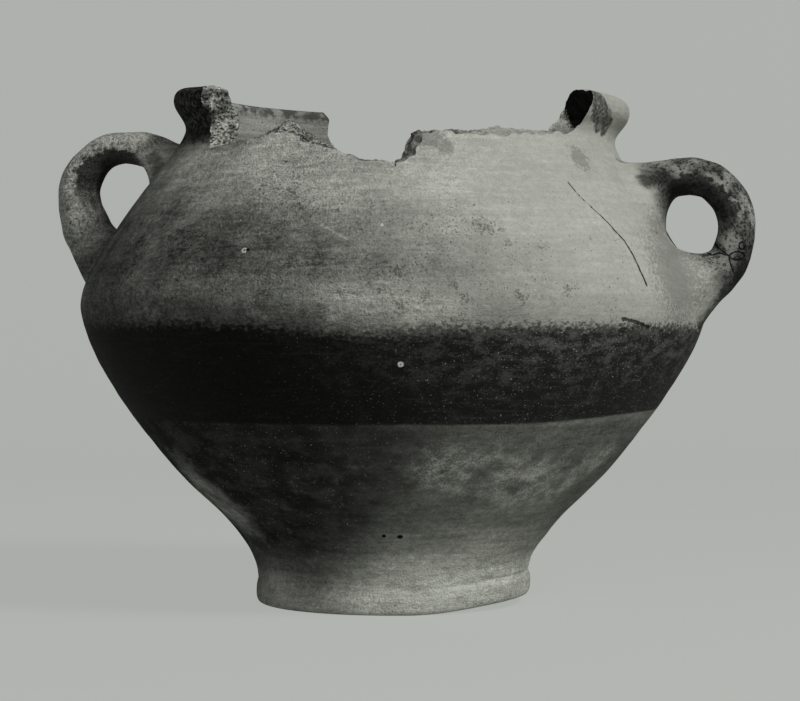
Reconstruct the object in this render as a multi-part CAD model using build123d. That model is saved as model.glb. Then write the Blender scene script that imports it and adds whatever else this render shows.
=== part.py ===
from build123d import *
import math
import os

# Two-handled clay jar with a broken neck, in millimetres and degrees.
# The jar's axis is Z, its foot stands on Z = 0, and its two handles lie along X.

# Foot: a turned disc with a ridge at its top, worn up along its +X edge
FOOT_RADIUS = 67.0
FOOT_HEIGHT = 12.0
FOOT_EDGE_ROUND = 3.0
RIDGE_STAND = 1.2
RIDGE_WIDTH = 4.0
KEY_RADIUS = 44.0
KEY_DEPTH = 3.0
WEAR_START = 22.0
WEAR_LIFT = 5.5

# Wall: radii and heights of the outer profile, and how far each curve holds its direction
WALL_FOOT_RADIUS = 67.7
WALL_FOOT_HOLD = 16.3
WAIST_RADIUS = 93.3
WAIST_HEIGHT = 51.5
WAIST_ANGLE = 49.0
WAIST_HOLD_BELOW = 8.2
WAIST_HOLD_ABOVE = 33.7
BELLY_RADIUS = 155.5
BELLY_HEIGHT = 146.0
BELLY_HOLD_BELOW = 19.1
BELLY_HOLD_ABOVE = 25.8
WALL = 10.0
FLOOR = 10.0
FLOOR_RADIUS = 40.0
FLOOR_HOLD = 18.0
SEAM_BEVEL = 3.0

# Neck: set a little askew on the shoulder, leaning to +X
NECK_RADIUS = 107.0
NECK_RISE = 84.6
NECK_HOLD = 10.5
NECK_WALL = 10.5
NECK_SEAM_DROP = 22.5
NECK_SHIFT = 3.3
NECK_TILT = 1.8
RIM_RADIUS = 113.5
RIM_RISE = 21.0
RIM_WALL = 13.5
LIP_DROP = 6.0

# Broken neck: azimuths between which it has broken down, and its break lines seen square on
# from outside, as pairs of a distance to the side, in shares of the neck's radius, and a height
# above the neck seam, in shares of the neck's height
FRONT_FACING_ANGLE = -75.0
FRONT_BREAK_ANGLES = (-130.5, -21.5)
FRONT_BREAK_LINE = (
    (-0.79, 0.26), (-0.53, 0.36), (-0.37, 0.24), (-0.28, 0.13), (-0.17, -0.04),
    (0.03, -0.04), (0.04, 0.14), (0.06, 0.33), (0.47, 0.35),
)
BACK_FACING_ANGLE = 105.0
BACK_BREAK_ANGLES = (47.0, 129.0)
BACK_BREAK_LINE = (
    (-0.58, 0.24), (-0.32, 0.29), (-0.15, -0.04), (0.08, -0.04), (0.22, 0.2), (0.56, 0.26),
)

# Handles: an oval limb that leaves the neck, turns down and slopes back to the belly
LEFT_RISE = 83.0
LEFT_SET_DOWN = 2.0
LEFT_STANDOFF = 14.5
LEFT_BEND = 27.0
LEFT_DROP = 4.0
LEFT_SLOPE_ANGLE = 30.0
LEFT_THICKNESS = 19.5
LEFT_BREADTH = 24.0
LEFT_ROOT_LIFT = 4.0
RIGHT_RISE = 62.5
RIGHT_SET_DOWN = 2.0
RIGHT_STANDOFF = 16.0
RIGHT_BEND = 22.5
RIGHT_DROP = 3.0
RIGHT_SLOPE_ANGLE = 35.0
RIGHT_THICKNESS = 18.5
RIGHT_BREADTH = 23.0
RIGHT_ROOT_LIFT = 1.0
LOWER_BEND = 15.0
LIMB_RUN = 2.0

# Flared ends of the handles, which start inside the wall's outer surface
FLARE_BURY = 12.0
UPPER_FLARE_SPREAD = 7.0
LOWER_FLARE_HEIGHT = 48.0
LOWER_FLARE_WIDTH = 36.0

# Sizes that follow from those
UP = Vector(0, 0, 1)
FLOOR_TOP = FOOT_HEIGHT + FLOOR
NECK_HEIGHT = BELLY_HEIGHT + NECK_RISE
SEAM_HEIGHT = NECK_HEIGHT - NECK_SEAM_DROP
RIM_TOP = NECK_SEAM_DROP + RIM_RISE
NECK_FRAME = Location((NECK_SHIFT, 0, SEAM_HEIGHT), (0, NECK_TILT, 0))
NECK_SEAM = Plane(NECK_FRAME)
BEYOND = 2 * BELLY_RADIUS
ABOVE_RIM = 2 * RIM_TOP

# Closeness to which a point on a curve or a surface is looked for
FINE = 1e-7


def profile_point(radius, height):
    """Point of a profile, which is drawn in the XZ plane."""
    return Vector(radius, 0, height)


def turned(face):
    """Solid that a profile face makes when it turns about the Z axis."""
    return revolve(face, Axis.Z)


def closed_face(edges, *corners):
    """Profile face closed by straight sides from the end of the edges back to their start."""
    points = [edges[-1] @ 1, *corners, edges[0] @ 0]
    return make_face([*edges, Polyline(*points)])


def radius_at(curve, height):
    """Radius of a rising profile curve at a height."""
    low, high = 0.0, 1.0
    while high - low > FINE:
        middle = (low + high) / 2
        if (curve @ middle).Z < height:
            low = middle
        else:
            high = middle
    return (curve @ low).X


def waist_direction():
    """Direction in which the wall rises at the waist."""
    angle = math.radians(WAIST_ANGLE)
    return Vector(math.sin(angle), 0, math.cos(angle))


def lower_outer():
    """Outer profile from the foot to the belly: hollow above the foot, then swelling."""
    rise = waist_direction()
    foot = profile_point(WALL_FOOT_RADIUS, FOOT_HEIGHT)
    waist = profile_point(WAIST_RADIUS, WAIST_HEIGHT)
    belly = profile_point(BELLY_RADIUS, BELLY_HEIGHT)
    hollow = Bezier(foot, foot + UP * WALL_FOOT_HOLD, waist - rise * WAIST_HOLD_BELOW, waist)
    swell = Bezier(waist, waist + rise * WAIST_HOLD_ABOVE, belly - UP * BELLY_HOLD_BELOW, belly)
    return [hollow, swell]


def lower_inner():
    """Inner profile from the edge of the floor to the belly."""
    rise = waist_direction()
    inward = Vector(-rise.Z, 0, rise.X)
    edge = profile_point(FLOOR_RADIUS, FLOOR_TOP)
    waist = profile_point(WAIST_RADIUS, WAIST_HEIGHT) + inward * WALL
    belly = profile_point(BELLY_RADIUS - WALL, BELLY_HEIGHT)
    bowl = Bezier(edge, edge + Vector(FLOOR_HOLD, 0, 0), waist - rise * FLOOR_HOLD, waist)
    swell = Bezier(waist, waist + rise * WAIST_HOLD_ABOVE, belly - UP * BELLY_HOLD_BELOW, belly)
    return [bowl, swell]


def shoulder_curve(belly_inset, neck_inset):
    """Profile from the belly to the narrowest part of the neck, set in from the outer one."""
    belly = profile_point(BELLY_RADIUS - belly_inset, BELLY_HEIGHT)
    neck = profile_point(NECK_RADIUS - neck_inset, NECK_HEIGHT)
    return Bezier(belly, belly + UP * BELLY_HOLD_ABOVE, neck - UP * NECK_HOLD, neck)


def wall_face():
    """Profile of the whole wall with its floor, from the foot to the narrowest part of the neck."""
    outer = [*lower_outer(), shoulder_curve(0, 0)]
    inner = [*lower_inner(), shoulder_curve(WALL, NECK_WALL)]
    axis_top = profile_point(0, NECK_HEIGHT)
    filled = closed_face(outer, axis_top, profile_point(0, FOOT_HEIGHT))
    hollow = closed_face(inner, axis_top, profile_point(0, FLOOR_TOP))
    return filled - hollow


def below_belly_seam():
    """Area of the profile under the belly seam, whose bevel rises inwards."""
    slope = SEAM_BEVEL / WALL
    outside = profile_point(BEYOND, BELLY_HEIGHT - slope * (BEYOND - BELLY_RADIUS))
    inside = profile_point(0, BELLY_HEIGHT + slope * BELLY_RADIUS)
    corners = (outside, inside, profile_point(0, 0), profile_point(BEYOND, 0))
    return make_face(Polyline(*corners, close=True))


def foot_key():
    """Short round key under the floor, which sits in the top of the foot."""
    key = Cylinder(KEY_RADIUS, KEY_DEPTH, align=(Align.CENTER, Align.CENTER, Align.MAX))
    return Pos(0, 0, FOOT_HEIGHT) * key


def make_foot():
    """Turned foot disc with a ridge, a seat for the wall's key and a worn edge."""
    edge_low = profile_point(FOOT_RADIUS - FOOT_EDGE_ROUND, 0)
    edge_high = profile_point(FOOT_RADIUS, FOOT_EDGE_ROUND)
    ridge_low = profile_point(FOOT_RADIUS, FOOT_HEIGHT - RIDGE_WIDTH)
    ridge_out = profile_point(FOOT_RADIUS + RIDGE_STAND, FOOT_HEIGHT - RIDGE_WIDTH / 2)
    ridge_high = profile_point(FOOT_RADIUS, FOOT_HEIGHT)
    outline = [
        TangentArc(edge_low, edge_high, tangent=(1, 0, 0)),
        Line(edge_high, ridge_low),
        ThreePointArc(ridge_low, ridge_out, ridge_high),
    ]
    disc = turned(closed_face(outline, profile_point(0, FOOT_HEIGHT), profile_point(0, 0)))
    lift_angle = math.degrees(math.atan2(WEAR_LIFT, FOOT_RADIUS - WEAR_START))
    worn = Box(BEYOND, BEYOND, BEYOND, align=(Align.MIN, Align.CENTER, Align.MAX))
    return disc - foot_key() - Pos(WEAR_START, 0, 0) * Rot(0, -lift_angle, 0) * worn


def make_lower_wall():
    """Thrown bowl with its floor, and the key under it."""
    return turned(wall_face() & below_belly_seam()) + foot_key()


def make_shoulder_wall():
    """Shoulder between the belly seam and the slanting neck seam."""
    shoulder = turned(wall_face() - below_belly_seam())
    return split(shoulder, bisect_by=NECK_SEAM, keep=Keep.BOTTOM)


def filled_neck(shoulder, neck_radius, lip_radius):
    """Solid inside a neck profile in the neck's own frame: flared foot, narrow neck, rolled lip."""
    foot = profile_point(radius_at(shoulder, SEAM_HEIGHT), 0)
    narrow = profile_point(neck_radius, NECK_SEAM_DROP)
    lip = profile_point(lip_radius, RIM_TOP - LIP_DROP)
    top = profile_point(RIM_RADIUS - RIM_WALL / 2, RIM_TOP)
    profile = [
        Bezier(foot, narrow - UP * NECK_HOLD, narrow),
        Bezier(narrow, narrow + UP * LIP_DROP, lip - UP * LIP_DROP, lip),
        Bezier(lip, profile_point(lip_radius, RIM_TOP), top),
    ]
    return turned(closed_face(profile, profile_point(0, RIM_TOP), profile_point(0, 0)))


def neck_outside():
    """Everything inside the outer surface of the whole neck, in the neck's own frame."""
    return filled_neck(shoulder_curve(0, 0), NECK_RADIUS, RIM_RADIUS)


def neck_inside():
    """The open space inside the neck, in the neck's own frame."""
    return filled_neck(shoulder_curve(WALL, NECK_WALL), NECK_RADIUS - NECK_WALL, RIM_RADIUS - RIM_WALL)


def broken_away(facing, between, break_line):
    """Space over a break line, between two azimuths, that the broken neck has lost."""
    turn = math.radians(facing)
    outward = Vector(math.cos(turn), math.sin(turn), 0)
    sideways = Vector(-math.sin(turn), math.cos(turn), 0)
    seen = Plane(origin=(0, 0, 0), x_dir=sideways, z_dir=outward)
    line = [(side * NECK_RADIUS, height * RIM_TOP) for side, height in break_line]
    ends = [(BEYOND, line[-1][1]), (BEYOND, ABOVE_RIM), (-BEYOND, ABOVE_RIM), (-BEYOND, line[0][1])]
    lost = extrude(seen * make_face(Polyline(*line, *ends, close=True)), BEYOND)
    corners = [(0, -ABOVE_RIM), (BEYOND, -ABOVE_RIM), (BEYOND, ABOVE_RIM), (0, ABOVE_RIM)]
    half_plane = make_face(Polyline(*[profile_point(*corner) for corner in corners], close=True))
    sector = revolve(Rot(0, 0, between[0]) * half_plane, Axis.Z, between[1] - between[0])
    return lost & sector


def make_neck_sherds():
    """Left and right sherds of the neck, still standing on the shoulder."""
    ring = neck_outside() - neck_inside()
    ring -= broken_away(FRONT_FACING_ANGLE, FRONT_BREAK_ANGLES, FRONT_BREAK_LINE)
    ring -= broken_away(BACK_FACING_ANGLE, BACK_BREAK_ANGLES, BACK_BREAK_LINE)
    left, right = (NECK_FRAME * ring).solids().sort_by(Axis.X)
    return left, right


def filled_jar():
    """Everything inside the outer surface of the jar, which the handles sit on: body and neck."""
    outer = [*lower_outer(), shoulder_curve(0, 0)]
    body = turned(closed_face(outer, profile_point(0, NECK_HEIGHT), profile_point(0, FOOT_HEIGHT)))
    return split(body, bisect_by=NECK_SEAM, keep=Keep.BOTTOM), NECK_FRAME * neck_outside()


def limb_path(rise, set_down, standoff, bend, drop, slope):
    """Centre line of a handle's bent limb on the +X side, from its top run to past its elbow."""
    lean = math.radians(slope)
    shoulder = profile_point(BELLY_RADIUS + standoff, BELLY_HEIGHT + rise)
    neck_side = profile_point(NECK_RADIUS, BELLY_HEIGHT + rise - set_down)
    outward = (shoulder - neck_side).normalized()
    inward = Vector(-math.sin(lean), 0, -math.cos(lean))
    bend_run = bend * math.tan((math.pi / 2 + math.asin(outward.Z)) / 2)
    elbow_run = LOWER_BEND * math.tan(lean / 2)
    elbow = shoulder - UP * (bend_run + drop + elbow_run)
    start = shoulder - outward * (bend_run + LIMB_RUN)
    end = elbow + inward * (elbow_run + LIMB_RUN)
    return FilletPolyline(start, shoulder, elbow, end, radius=(bend, LOWER_BEND))


def oval(centre, facing, breadth, thickness):
    """Oval section of a handle, with its breadth along Y."""
    return Plane(origin=centre, x_dir=(0, 1, 0), z_dir=facing) * Ellipse(breadth / 2, thickness / 2)


def wall_point(jar, inside, outside):
    """Point where a straight line from inside the jar leaves its outer surface."""
    while (outside - inside).length > FINE:
        middle = (inside + outside) / 2
        if any(block.is_inside(middle) for block in jar):
            inside = middle
        else:
            outside = middle
    return outside


def upper_end(jar, path, breadth, thickness):
    """Flared upper end of a handle, between the neck and the start of the limb."""
    along = path % 0
    root = wall_point(jar, path @ 0 - along * NECK_RADIUS, path @ 0) - along * FLARE_BURY
    wide = oval(root, along, breadth + 2 * UPPER_FLARE_SPREAD, thickness + 2 * UPPER_FLARE_SPREAD)
    return loft([wide, oval(path @ 0, along, breadth, thickness)], ruled=True)


def lower_end(path, root_lift, breadth, thickness):
    """Flared lower end of a handle, which spreads from the limb into a tall oval on the belly."""
    root = profile_point(BELLY_RADIUS - FLARE_BURY, BELLY_HEIGHT + root_lift)
    wide = oval(root, (-1, 0, 0), LOWER_FLARE_WIDTH, LOWER_FLARE_HEIGHT)
    return loft([oval(path @ 1, path % 1, breadth, thickness), wide], ruled=True)


def make_handle(jar, path, root_lift, breadth, thickness):
    """Loop and lower end of a handle on the +X side of a jar, both set on its surface."""
    loop = sweep(oval(path @ 0, path % 0, breadth, thickness), path=path)
    loop += upper_end(jar, path, breadth, thickness)
    root = lower_end(path, root_lift, breadth, thickness)
    for block in jar:
        loop -= block
        root -= block
    return loop, root


def make_left_handle(jar):
    """Left handle in one piece, higher than the right one."""
    path = limb_path(
        LEFT_RISE, LEFT_SET_DOWN, LEFT_STANDOFF, LEFT_BEND, LEFT_DROP, LEFT_SLOPE_ANGLE
    )
    mirrored_jar = [mirror(block, about=Plane.YZ) for block in jar]
    loop, root = make_handle(mirrored_jar, path, LEFT_ROOT_LIFT, LEFT_BREADTH, LEFT_THICKNESS)
    return mirror(loop + root, about=Plane.YZ)


def make_right_handle(jar):
    """Right handle in two pieces, which part at the mended break below its elbow."""
    path = limb_path(
        RIGHT_RISE, RIGHT_SET_DOWN, RIGHT_STANDOFF, RIGHT_BEND, RIGHT_DROP, RIGHT_SLOPE_ANGLE
    )
    return make_handle(jar, path, RIGHT_ROOT_LIFT, RIGHT_BREADTH, RIGHT_THICKNESS)


def make_pieces():
    """Every piece of the jar by its name."""
    jar = filled_jar()
    neck_left, neck_right = make_neck_sherds()
    right_loop, right_root = make_right_handle(jar)
    return {
        "foot": make_foot(),
        "lower_wall": make_lower_wall(),
        "shoulder_wall": make_shoulder_wall(),
        "neck_left_sherd": neck_left,
        "neck_right_sherd": neck_right,
        "left_handle": make_left_handle(jar),
        "right_handle_loop": right_loop,
        "right_handle_root": right_root,
    }


os.makedirs("parts", exist_ok=True)
for name, piece in make_pieces().items():
    export_step(piece, f"parts/{name}.step")
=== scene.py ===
"""Dresses the packed clay jar: worn thrown walls, a broken neck and two loop handles, in studio light."""

import logging
import math
from dataclasses import dataclass
from enum import Enum, IntEnum
from typing import NamedTuple, Optional, Sequence, Union

import bmesh
import bpy
import numpy as np
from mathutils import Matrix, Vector
from mathutils.bvhtree import BVHTree

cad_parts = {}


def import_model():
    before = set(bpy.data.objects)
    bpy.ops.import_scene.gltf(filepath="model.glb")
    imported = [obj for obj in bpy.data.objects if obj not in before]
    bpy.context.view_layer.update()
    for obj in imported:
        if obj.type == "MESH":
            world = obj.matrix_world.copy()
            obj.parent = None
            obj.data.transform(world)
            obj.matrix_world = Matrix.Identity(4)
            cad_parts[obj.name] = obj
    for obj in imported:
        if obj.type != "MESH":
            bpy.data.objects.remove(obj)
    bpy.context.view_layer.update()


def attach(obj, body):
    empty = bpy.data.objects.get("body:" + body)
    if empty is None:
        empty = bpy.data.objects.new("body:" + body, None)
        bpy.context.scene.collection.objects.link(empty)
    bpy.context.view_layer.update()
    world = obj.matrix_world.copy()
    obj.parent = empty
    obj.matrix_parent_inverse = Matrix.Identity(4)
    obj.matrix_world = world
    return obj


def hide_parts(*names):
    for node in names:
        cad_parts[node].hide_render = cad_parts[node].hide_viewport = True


LOG = logging.getLogger("jar")
# A millimetre in metres, a full turn in radians, and the turn of the picture's front from -Y in degrees
MM = 0.001
TURN = 2 * math.pi
FACING = 15.0
# The angle in degrees from which an edge is sharp, and the hue and the shine of the clay
CREASE = 38.0
HUE = (0.99, 1.01, 0.9)
SHINE = 0.05
# The least length that a vector is divided by
TINY = 1e-9
Array = np.ndarray
Colour = tuple[float, float, float, float]
Place = tuple[float, float, float]
# Where a mask starts and where it is full
Fade = tuple[float, float]
ACROSS = np.array([0.0, 1.0, 0.0])


class Zone(IntEnum):
    """Which of a piece's finishes a face takes."""

    OUTSIDE = 0
    INSIDE = 1
    BREAK = 2


class Side(Enum):
    """The two sides that carry a handle, by the direction of X."""

    LEFT = -1
    RIGHT = 1


class Break(NamedTuple):
    """One point of a sherd's broken edge.

    It has an azimuth in degrees, the heights over the neck seam of its outer and its inner edge, and how many
    degrees further round the inner edge lies.
    """

    azimuth: float
    outer: float
    inner: float
    skew: float = 0.0


class Station(NamedTuple):
    """One point of a handle's limb.

    It has a distance from the jar's axis, a height, and the limb's thickness and breadth there.
    """

    out: float
    up: float
    thickness: float
    breadth: float


class Spot(NamedTuple):
    """A small mark on the wall, by its azimuth in degrees, its height and its radius."""

    azimuth: float
    height: float
    radius: float


def sideways() -> Place:
    """Direction to the right of the jar's front."""
    return math.cos(math.radians(FACING)), math.sin(math.radians(FACING)), 0.0


def forwards() -> Place:
    """Direction that the jar's front faces."""
    return math.sin(math.radians(FACING)), -math.cos(math.radians(FACING)), 0.0


def bezier(corners: Sequence[Sequence[float]], count: int) -> Array:
    """Samples a Bezier curve.

    Args:
        corners: Control points of the curve.
        count: How many points to sample.

    Returns:
        The points, one row each.
    """
    points = np.asarray(corners, float)
    degree = len(points) - 1
    at = np.linspace(0, 1, count)[:, None]
    return sum(math.comb(degree, k) * at**k * (1 - at) ** (degree - k) * points[k] for k in range(degree + 1))


def run_of(points: Array) -> Array:
    """Length of a line of points up to each of them."""
    steps = np.linalg.norm(np.diff(points, axis=0), axis=1)
    return np.concatenate([[0.0], np.cumsum(steps)])


def evenly(points: Array, count: int) -> Array:
    """Samples a line of points again at even steps.

    Args:
        points: The line, one point a row.
        count: How many points to return.

    Returns:
        The new points, one row each.
    """
    run = run_of(points)
    at = np.linspace(0, run[-1], count)
    return np.stack([np.interp(at, run, column) for column in points.T], axis=1)


def cut_at(profile: Array, height: float) -> tuple[Array, Array]:
    """Cuts a rising profile in two.

    Args:
        profile: Radius and height, one point a row.
        height: Where to cut it.

    Returns:
        The parts below and above the height, both with a point on it.
    """
    edge = np.array([[np.interp(height, profile[:, 1], profile[:, 0]), height]])
    below = profile[profile[:, 1] < height]
    above = profile[profile[:, 1] > height]
    return np.concatenate([below, edge]), np.concatenate([edge, above])


def flowing(knots: Sequence[Sequence[float]], count: int) -> Array:
    """Runs a smooth curve through knots.

    Args:
        knots: Points that the curve passes through, with any values that change along it.
        count: How many points to sample between each two knots.

    Returns:
        The points, one row each.
    """
    rows = np.asarray(knots, float)
    padded = np.concatenate([[2 * rows[0] - rows[1]], rows, [2 * rows[-1] - rows[-2]]])
    at = np.linspace(0, 1, count, endpoint=False)[:, None]
    spans = []
    for before, first, second, after in zip(padded, padded[1:], padded[2:], padded[3:]):
        spans.append(hermite(first, second, (second - before) / 2, (after - first) / 2, at))
    return np.concatenate([*spans, rows[-1:]])


def hermite(start: Array, end: Array, leave: Array, arrive: Array, at: Array) -> Array:
    """Points of a cubic between two places with given speeds.

    Args:
        start: Where it starts.
        end: Where it ends.
        leave: Its speed at the start.
        arrive: Its speed at the end.
        at: Shares of the way at which to take points.

    Returns:
        The points.
    """
    bend = 3 * (end - start) - 2 * leave - arrive
    close = 2 * (start - end) + leave + arrive
    return start + leave * at + bend * at**2 + close * at**3


def ease(low: float, high: float, value: Array) -> Array:
    """Smooth step from 0 at low to 1 at high."""
    share = np.clip((value - low) / (high - low), 0, 1)
    return share * share * (3 - 2 * share)


def unit(vectors: Array) -> Array:
    """Vectors of the same directions with length 1."""
    return vectors / np.maximum(np.linalg.norm(vectors, axis=-1, keepdims=True), TINY)


def from_ends(count: int) -> Array:
    """Number of steps from each place of a row to the nearer end."""
    return np.minimum(np.arange(count), np.arange(count)[::-1])


@dataclass(frozen=True)
class Lumps:
    """Smooth unevenness of hand-worked clay, as waves in many directions."""

    length: float
    height: float
    seed: int
    drawn_out: float = 1.0
    waves: int = 14
    shortest: float = 0.6
    longest: float = 1.5

    def at(self, points: Array) -> Array:
        """Height of the lumps.

        Args:
            points: Places in millimetres, in an array whose last axis is x, y, z.

        Returns:
            The heights in millimetres, in an array without that axis.
        """
        rng = np.random.default_rng(self.seed)
        directions = unit(rng.normal(size=(self.waves, 3)))
        directions[:, :2] /= self.drawn_out
        pace = TURN / (self.length * rng.uniform(self.shortest, self.longest, self.waves))
        phase = rng.uniform(0, TURN, self.waves)
        return self.height * np.sin(points @ (directions.T * pace) + phase).sum(axis=-1) / self.waves**0.5


@dataclass(frozen=True)
class JarForm:
    """Sizes of the jar in millimetres, and the curves and the hand of its maker that its pieces share."""

    foot_radius: float = 67.6
    foot_height: float = 12.0
    foot_hold: float = 16.3
    waist: tuple[float, float] = (93.3, 51.5)
    waist_angle: float = 49.0
    waist_hold_below: float = 8.2
    waist_hold_above: float = 33.7
    belly: tuple[float, float] = (155.2, 146.0)
    belly_hold_below: float = 21.0
    belly_hold_above: float = 25.8
    wall: float = 10.0
    floor_top: float = 22.0
    floor_radius: float = 40.0
    floor_hold: float = 18.0
    seam_bevel: float = 3.0
    neck: tuple[float, float] = (106.8, 230.6)
    neck_hold: float = 10.5
    neck_wall: float = 10.5
    neck_seam_drop: float = 22.5
    neck_shift: float = 3.3
    neck_tilt: float = 1.8
    rim_radius: float = 113.2
    rim_height: float = 43.2
    rim_wall: float = 13.5
    lip_drop: float = 6.0
    wear_start: float = 8.0
    wear_lift: float = 4.2
    wear_top: float = 36.0
    groove: float = 0.65
    groove_reach: float = 1.5
    press: tuple[float, float] = (5.0, 180.0)
    press_reach: tuple[float, float, float] = (30.0, 36.0, 11.0)
    press_depth: float = 2.8
    groove_share: float = 0.12
    groove_between: Fade = (-15.0, 55.0)
    swell: Lumps = Lumps(150, 0.45, 3)
    dimples: Lumps = Lumps(48, 0.22, 5)
    wheel_marks: Lumps = Lumps(9, 0.07, 8, drawn_out=9.0)
    inner_swell: Lumps = Lumps(70, 0.4, 12)
    finger_ridges: Lumps = Lumps(17, 0.35, 13, drawn_out=9.0)
    skin_drop: float = 0.2
    skin_limit: float = 0.25
    seam_rounds: int = 8
    samples: int = 240

    @property
    def seam_height(self) -> float:
        """Height of the neck seam on the neck's axis."""
        return self.neck[1] - self.neck_seam_drop

    def waist_rise(self) -> Array:
        """Direction in which the wall rises at the waist."""
        angle = math.radians(self.waist_angle)
        return np.array([math.sin(angle), math.cos(angle)])

    def lower_outer(self) -> Array:
        """Outer profile from the foot to the belly.

        Returns:
            Radius and height, one point a row.
        """
        rise = self.waist_rise()
        waist = np.array(self.waist)
        hold = (self.foot_radius, self.foot_height + self.foot_hold)
        below_belly = (self.belly[0], self.belly[1] - self.belly_hold_below)
        foot = (self.foot_radius, self.foot_height)
        hollow = bezier([foot, hold, waist - rise * self.waist_hold_below, waist], self.samples)
        swell = bezier([waist, waist + rise * self.waist_hold_above, below_belly, self.belly], self.samples)
        return np.concatenate([hollow, swell[1:]])

    def lower_inner(self) -> Array:
        """Inner profile from the edge of the floor to the belly.

        Returns:
            Radius and height, one point a row.
        """
        rise = self.waist_rise()
        waist = np.array(self.waist) + np.array([-rise[1], rise[0]]) * self.wall
        edge = (self.floor_radius, self.floor_top)
        hold = (self.floor_radius + self.floor_hold, self.floor_top)
        belly = (self.belly[0] - self.wall, self.belly[1])
        below_belly = (belly[0], belly[1] - self.belly_hold_below)
        bowl = bezier([edge, hold, waist - rise * self.floor_hold, waist], self.samples)
        swell = bezier([waist, waist + rise * self.waist_hold_above, below_belly, belly], self.samples)
        return np.concatenate([bowl, swell[1:]])

    def shoulder(self, belly_inset: float, neck_inset: float) -> Array:
        """Profile from the belly to the narrowest part of the neck.

        Args:
            belly_inset: How far inside the outer surface it starts.
            neck_inset: How far inside the outer surface it ends.

        Returns:
            Radius and height, one point a row.
        """
        belly = (self.belly[0] - belly_inset, self.belly[1])
        neck = (self.neck[0] - neck_inset, self.neck[1])
        above_belly = (belly[0], belly[1] + self.belly_hold_above)
        below_neck = (neck[0], neck[1] - self.neck_hold)
        return bezier([belly, above_belly, below_neck, neck], 2 * self.samples)

    def shoulder_outer(self) -> Array:
        """Outer profile of the shoulder."""
        return self.shoulder(0, 0)

    def shoulder_inner(self) -> Array:
        """Inner profile of the shoulder."""
        return self.shoulder(self.wall, self.neck_wall)

    def neck_profile(self, shoulder: Array, lip_radius: float) -> Array:
        """Profile of the neck from its seam to the top of its lip, in the neck's own frame.

        Args:
            shoulder: Profile of the shoulder that it continues.
            lip_radius: Radius of the lip on this side of the wall.

        Returns:
            Radius and height over the seam, one point a row.
        """
        flare = cut_at(shoulder, self.seam_height)[1] - np.array([0.0, self.seam_height])
        lip = np.array([lip_radius, self.rim_height - self.lip_drop])
        top = (self.rim_radius - self.rim_wall / 2, self.rim_height)
        rise = np.array([0.0, self.lip_drop])
        throat = bezier([flare[-1], flare[-1] + rise, lip - rise, lip], self.samples)
        roll = bezier([lip, (lip[0], self.rim_height), top], self.samples)
        return np.concatenate([flare, throat[1:], roll[1:]])

    def from_neck(self, points: Array) -> Array:
        """Moves points from the neck's own frame, which is set askew, to the jar's.

        Args:
            points: Places in the neck's frame, in an array whose last axis is x, y, z.

        Returns:
            The same places in the jar's frame.
        """
        tilt = math.radians(self.neck_tilt)
        sine, cosine = math.sin(tilt), math.cos(tilt)
        turn = np.array([[cosine, 0, sine], [0, 1, 0], [-sine, 0, cosine]])
        return points @ turn.T + np.array([self.neck_shift, 0, self.seam_height])

    def seam_at(self, along_x: Array) -> Array:
        """Height of the slanting neck seam at places along X."""
        return self.seam_height - math.tan(math.radians(self.neck_tilt)) * (along_x - self.neck_shift)

    def seam_radius(self, azimuth: Array, shoulder: Array) -> Array:
        """Radius in the neck's frame at which a shoulder profile meets the neck seam.

        Args:
            azimuth: Azimuths in the neck's frame in radians.
            shoulder: Profile of the shoulder.

        Returns:
            The radius at each azimuth.
        """
        radius = np.full_like(azimuth, np.interp(self.seam_height, shoulder[:, 1], shoulder[:, 0]))
        for _ in range(self.seam_rounds):
            place = self.from_neck(turned(np.stack([radius, 0 * radius], axis=-1), azimuth))
            wanted = np.interp(place[..., 2], shoulder[:, 1], shoulder[:, 0])
            radius = radius + wanted - np.hypot(place[..., 0], place[..., 1])
        return radius

    def wall_point(self, azimuth: float, height: float) -> Place:
        """Point of the outer surface.

        Args:
            azimuth: Its azimuth in degrees.
            height: Its height on the wall, or up the neck as if that stood straight.

        Returns:
            The place.
        """
        on_neck = height > self.neck[1]
        profile = np.concatenate([self.lower_outer(), self.shoulder_outer()[1:]])
        if on_neck:
            height -= self.seam_height
            profile = self.neck_profile(self.shoulder_outer(), self.rim_radius)
        radius = float(np.interp(height, profile[:, 1], profile[:, 0]))
        angle = math.radians(azimuth)
        point = np.array([radius * math.cos(angle), radius * math.sin(angle), height])
        return tuple((self.from_neck(point) if on_neck else point).tolist())

    def uneven(self, points: Array) -> Array:
        """How far the worked outer surface stands off its true form.

        Args:
            points: Places in millimetres, in an array whose last axis is x, y, z.

        Returns:
            The distances along the surface's normal in millimetres.
        """
        worked = self.swell.at(points) + self.dimples.at(points) + self.wheel_marks.at(points)
        away = (points - np.array(self.wall_point(*self.press))) / np.array(self.press_reach)
        press = self.press_depth * np.exp(-(away**2).sum(axis=-1))
        seam = np.exp(-(((points[..., 2] - self.foot_height) / self.groove_reach) ** 2))
        right = ease(*self.groove_between, points @ np.array(sideways()))
        groove = self.groove * seam * (self.groove_share + (1 - self.groove_share) * right)
        return np.minimum(worked - self.skin_drop, self.skin_limit) - press - groove

    def uneven_inside(self, points: Array) -> Array:
        """How far the thrown inner surface stands off its true form, with its finger ridges."""
        return self.inner_swell.at(points) + self.finger_ridges.at(points)

    def settled(self, points: Array) -> Array:
        """Lifts the foot's right edge, which warped and wore up.

        Args:
            points: Places in millimetres, in an array whose last axis is x, y, z.

        Returns:
            The moved places.
        """
        lift = self.wear_lift * ease(self.wear_start, self.foot_radius, points @ np.array(sideways()))
        moved = points.copy()
        moved[..., 2] += lift * (1 - ease(self.foot_height, self.wear_top, points[..., 2]))
        return moved


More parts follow.
